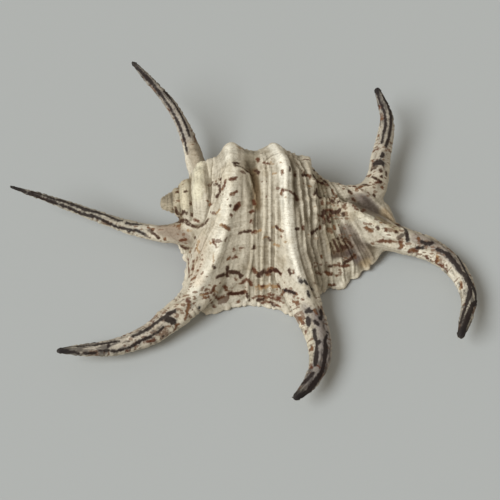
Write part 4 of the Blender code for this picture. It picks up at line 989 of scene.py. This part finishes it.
position = add("ShaderNodeTexCoord", {})["Object"]
millimetres = add("ShaderNodeVectorMath", {0: position, "Scale": 1000.0}, operation="SCALE")[0]
stored = {name: add("ShaderNodeAttribute", {}, attribute_name=name)["Color"]
          for name in ("ground", "pigment", "growth", "place", "spine", "mouth")}
red_field, black_field, orange_field = add("ShaderNodeSeparateColor", {0: stored["pigment"]})
across_line, turn_line, fine_rise_for_painted_light = add("ShaderNodeSeparateColor", {0: stored["growth"]})
callus_share, spine_place, broad_rise_for_painted_light = add("ShaderNodeSeparateColor", {0: stored["place"]})
from_opening, tooth_mark, _ = add("ShaderNodeSeparateColor", {0: stored["mouth"]})
spine_across, spine_along, speckled = add("ShaderNodeSeparateColor", {0: stored["spine"]})



def stretched(first, first_scale, second, second_scale):
    """A point on the skin made of two stored distances, each times its own scale."""
    sides = [add("ShaderNodeMath", {0: value, 1: scale}, operation="MULTIPLY")[0]
             for value, scale in ((first, first_scale), (second, second_scale))]
    return add("ShaderNodeCombineXYZ", {0: sides[0], 1: sides[1]})[0]


line_point = stretched(across_line, LINES_ACROSS, turn_line, LINES_ALONG)
streak_point = stretched(spine_along, STREAKS_ALONG, spine_across, STREAKS_ROUND)
fleck_point = stretched(across_line, FLECKS_ACROSS, turn_line, FLECKS_ALONG)
noises = {}
for name, point, scale, detail in [
        ("grain", millimetres, 1 / CHALK_GRAIN, 4), ("pits", millimetres, 1 / PIT_SIZE, 3),
        ("stain", millimetres, 1 / STAIN_SIZE, 4), ("wander", millimetres, 1 / MARK_WANDER, 2),
        ("lines", line_point, 1, 5), ("streaks", streak_point, 1, 4)]:
    noises[name] = add("ShaderNodeTexNoise", {"Vector": point, "Scale": scale, "Detail": detail,
                                              "Roughness": 0.6})[0]
fleck_gap, fleck_kind = add("ShaderNodeTexVoronoi", {"Vector": fleck_point, "Scale": 1.0})[:2]
fleck_size, fleck_chance = add("ShaderNodeSeparateColor", {0: fleck_kind})[:2]
speck_point = add("ShaderNodeVectorMath", {0: millimetres, 1: SPECK_STRETCH}, operation="MULTIPLY")[0]
speck_gap, speck_kind = add("ShaderNodeTexVoronoi", {"Vector": speck_point, "Scale": 1.0})[:2]
speck_size = add("ShaderNodeSeparateColor", {0: speck_kind})[0]

sums = {}
for name, operation, first, second, third in [
        ("edge", "ADD", "wander", "grain", 0),
        ("edge", "MULTIPLY_ADD", "edge", 1.5, -1.5),
        ("orange", "MULTIPLY_ADD", "edge", 0.9, orange_field),
        ("red", "MULTIPLY_ADD", "edge", 0.95, red_field),
        ("pale", "MULTIPLY_ADD", "stain", -9, 4.2),
        ("pale", "MINIMUM", "pale", "red", 0),
        ("black", "MULTIPLY_ADD", "edge", 0.75, black_field),
        ("both", "MAXIMUM", red_field, black_field, 0),
        ("halo", "MULTIPLY_ADD", "edge", 0.9, "both"),
        ("shade", "MULTIPLY_ADD", "edge", 0.9, black_field),
        ("fleck", "MULTIPLY", fleck_size, 0.26, 0),
        ("fleck", "SUBTRACT", "fleck", fleck_gap, 0),
        ("fleck", "MULTIPLY_ADD", "edge", 0.12, "fleck"),
        ("rare", "GREATER_THAN", fleck_chance, 0.45, 0),
        ("speck", "MULTIPLY", speck_size, speckled, 0),
        ("speck", "MULTIPLY_ADD", "speck", 0.85, -0.12),
        ("speck", "SUBTRACT", "speck", speck_gap, 0),
        ("speck", "MULTIPLY_ADD", "edge", 0.25, "speck"),
        ("on spine", "MULTIPLY", spine_place, 7, 0),
        ("on spine", "MINIMUM", "on spine", 1, 0),
        ("off spine", "SUBTRACT", 1, "on spine", 0),
        ("rare", "MULTIPLY", "rare", "off spine", 0),
        ("to tip", "MULTIPLY_ADD", spine_place, 0.34, "streaks"),
        ("tooth", "MULTIPLY_ADD", "edge", tooth_mark, tooth_mark)]:
    values = [sums.get(value, noises.get(value)) if isinstance(value, str) else value
              for value in (first, second, third)]
    sums[name] = add("ShaderNodeMath", {0: values[0], 1: values[1], 2: values[2]},
                     operation=operation)[0]

# Each layer lies over those before it: what drives it, where that starts and is full, where it
# may lie, how it blends, its strength and its colour.
colour = stored["ground"]
for source, low, high, within, blend, strength, tone in [
        # Painted shade in broad hollows, then painted highlight on broad rises.
        (broad_rise_for_painted_light, -0.1, -1.1, None, "MULTIPLY", 0.6, "#aca394"),
        (broad_rise_for_painted_light, 0.2, 1.2, None, "DODGE", 0.35, "#7a7a7a"),
        # Painted shade in fine grooves, then painted highlight on fine crests.
        (fine_rise_for_painted_light, 0.02, -0.22, None, "MULTIPLY", 0.5, "#988f7f"),
        (fine_rise_for_painted_light, 0.02, 0.24, None, "DODGE", 0.6, "#808080"),
        (noises["stain"], 0.5, 0.72, None, "MULTIPLY", 0.5, "#c9bda9"),
        (noises["stain"], 0.46, 0.3, None, "DODGE", 0.5, "#747474"),
        (noises["lines"], 0.48, 0.68, None, "MULTIPLY", 0.32, "#b0a491"),
        (noises["grain"], 0.46, 0.66, None, "MULTIPLY", 0.38, "#b7ab9a"),
        (sums["speck"], 0, 0.12, None, "MIX", 0.75, "#76553c"),
        (sums["fleck"], 0, 0.05, sums["rare"], "MIX", 0.75, "#64402b"),
        (spine_place, 0.5, 0.95, sums["on spine"], "MIX", 0.3, "#7d7a74"),
        (sums["to tip"], 0.71, 0.88, sums["on spine"], "MIX", 0.78, "#3f3732"),
        (sums["shade"], -1.2, -0.1, sums["on spine"], "MIX", 0.3, "#6a6460"),
        (sums["tooth"], 0.5, 1.1, None, "MIX", 0.75, "#66432b"),
        (sums["orange"], -0.25, 0.35, None, "MIX", 0.7, "#9a7344"),
        (sums["halo"], -0.75, 0.1, sums["off spine"], "MIX", 0.45, "#8f7049"),
        (sums["red"], -0.62, 0.2, None, "MIX", 0.9, "#572a14"),
        (sums["pale"], -0.4, 0.3, None, "MIX", 0.55, "#8a6542"),
        (sums["black"], -0.6, 0.16, sums["off spine"], "MIX", 0.93, "#3a1d0f"),
        (sums["black"], -0.5, 0.12, sums["on spine"], "MIX", 0.94, "#231815"),
        (spine_place, 0.91, 0.98, None, "MIX", 0.9, "#241f1e"),
        (noises["pits"], 0.58, 0.76, None, "MULTIPLY", 0.45, "#9b8f7c")]:
    share = add("ShaderNodeMapRange", {0: source, 1: low, 2: high, 4: strength},
                interpolation_type="SMOOTHSTEP")[0]
    if within:
        share = add("ShaderNodeMath", {0: share, 1: within}, operation="MULTIPLY")[0]
    colour = add("ShaderNodeMix", {0: share, 6: colour, 7: linear(tone)}, data_type="RGBA",
                 blend_type=blend)[2]

glaze_tone = add("ShaderNodeMapRange", {0: from_opening, 1: GLAZE_FROM, 2: GLAZE_TO})[0]
glaze = add("ShaderNodeMix", {0: glaze_tone, 6: linear(GLAZE_PALE), 7: linear(GLAZE_DEEP)},
            data_type="RGBA")[2]
colour = add("ShaderNodeMix", {0: callus_share, 6: colour, 7: glaze}, data_type="RGBA")[2]

surface_height = add("ShaderNodeMath", {0: noises["lines"], 1: 0.7, 2: noises["grain"]},
                     operation="MULTIPLY_ADD")[0]
surface_height = add("ShaderNodeMath", {0: noises["pits"], 1: 0.25, 2: surface_height},
                     operation="MULTIPLY_ADD")[0]
bump = add("ShaderNodeBump", {"Height": surface_height, "Strength": RELIEF_STRENGTH,
                              "Distance": RELIEF_DEPTH})[0]
roughness = add("ShaderNodeMapRange", {0: callus_share, 3: CHALKY, 4: GLOSSY})[0]
surface = add("ShaderNodeBsdfPrincipled", {"Base Color": colour, "Normal": bump, "Roughness": roughness,
                                           "IOR": 1.53, "Specular IOR Level": 0.2})[0]
add("ShaderNodeOutputMaterial", {"Surface": surface})
shell.data.materials.clear()
shell.data.materials.append(chalk)

# ---- The table under it, the light and the camera ----
# A plain pale painted table, lit by one large soft window light low from the front left.
# The camera looks down on the shell from the front, at the photograph's angle.
LOOK_AT = (np.array([0, 0, 12]) - FRAME_MIDDLE) * METRE
LOOK_ANGLE = math.radians(58)
LOOK_DISTANCE = 0.56
FOCAL_LENGTH = 104.832
SENSOR_WIDTH = 36
TABLE_SIZE = 4
TABLE_PAINT = "#b2b4b2"
SUN_STRENGTH, SUN_SPREAD, SUN_COLOUR = 2.7, 0.55, (0.95, 1.0, 1.04)
SUN_RUNS = (0.6, 0.33, -0.73)
ROOM_STRENGTH, ROOM_COLOUR = 0.38, (1.0, 0.94, 0.84, 1)

camera = bpy.data.objects.new("camera", bpy.data.cameras.new("camera"))
camera.data.lens = FOCAL_LENGTH
camera.data.sensor_width = SENSOR_WIDTH
away = np.array([0, -math.cos(LOOK_ANGLE), math.sin(LOOK_ANGLE)])
camera.location = LOOK_AT + LOOK_DISTANCE * away
camera.rotation_euler = Vector(-away).to_track_quat("-Z", "Y").to_euler()
bpy.context.collection.objects.link(camera)
bpy.context.scene.camera = camera

bpy.ops.mesh.primitive_plane_add(size=TABLE_SIZE)
floor = bpy.context.object
floor.name = "floor"
paint = bpy.data.materials.new("satin white paint")
paint.use_nodes = True
web = paint.node_tree
web.nodes.clear()
surface = add("ShaderNodeBsdfPrincipled", {"Base Color": linear(TABLE_PAINT), "Roughness": 0.5})[0]
add("ShaderNodeOutputMaterial", {"Surface": surface})
floor.data.materials.append(paint)

sun = bpy.data.objects.new("window light", bpy.data.lights.new("window light", "SUN"))
sun.data.energy = SUN_STRENGTH
sun.data.angle = SUN_SPREAD
sun.data.color = SUN_COLOUR
sun.rotation_euler = Vector(SUN_RUNS).to_track_quat("-Z", "Y").to_euler()
bpy.context.collection.objects.link(sun)
world = bpy.data.worlds.new("room light")
world.use_nodes = True
backdrop = world.node_tree.nodes["Background"]
backdrop.inputs["Color"].default_value = ROOM_COLOUR
backdrop.inputs["Strength"].default_value = ROOM_STRENGTH
bpy.context.scene.world = world
bpy.context.scene.view_settings.view_transform = "Standard"
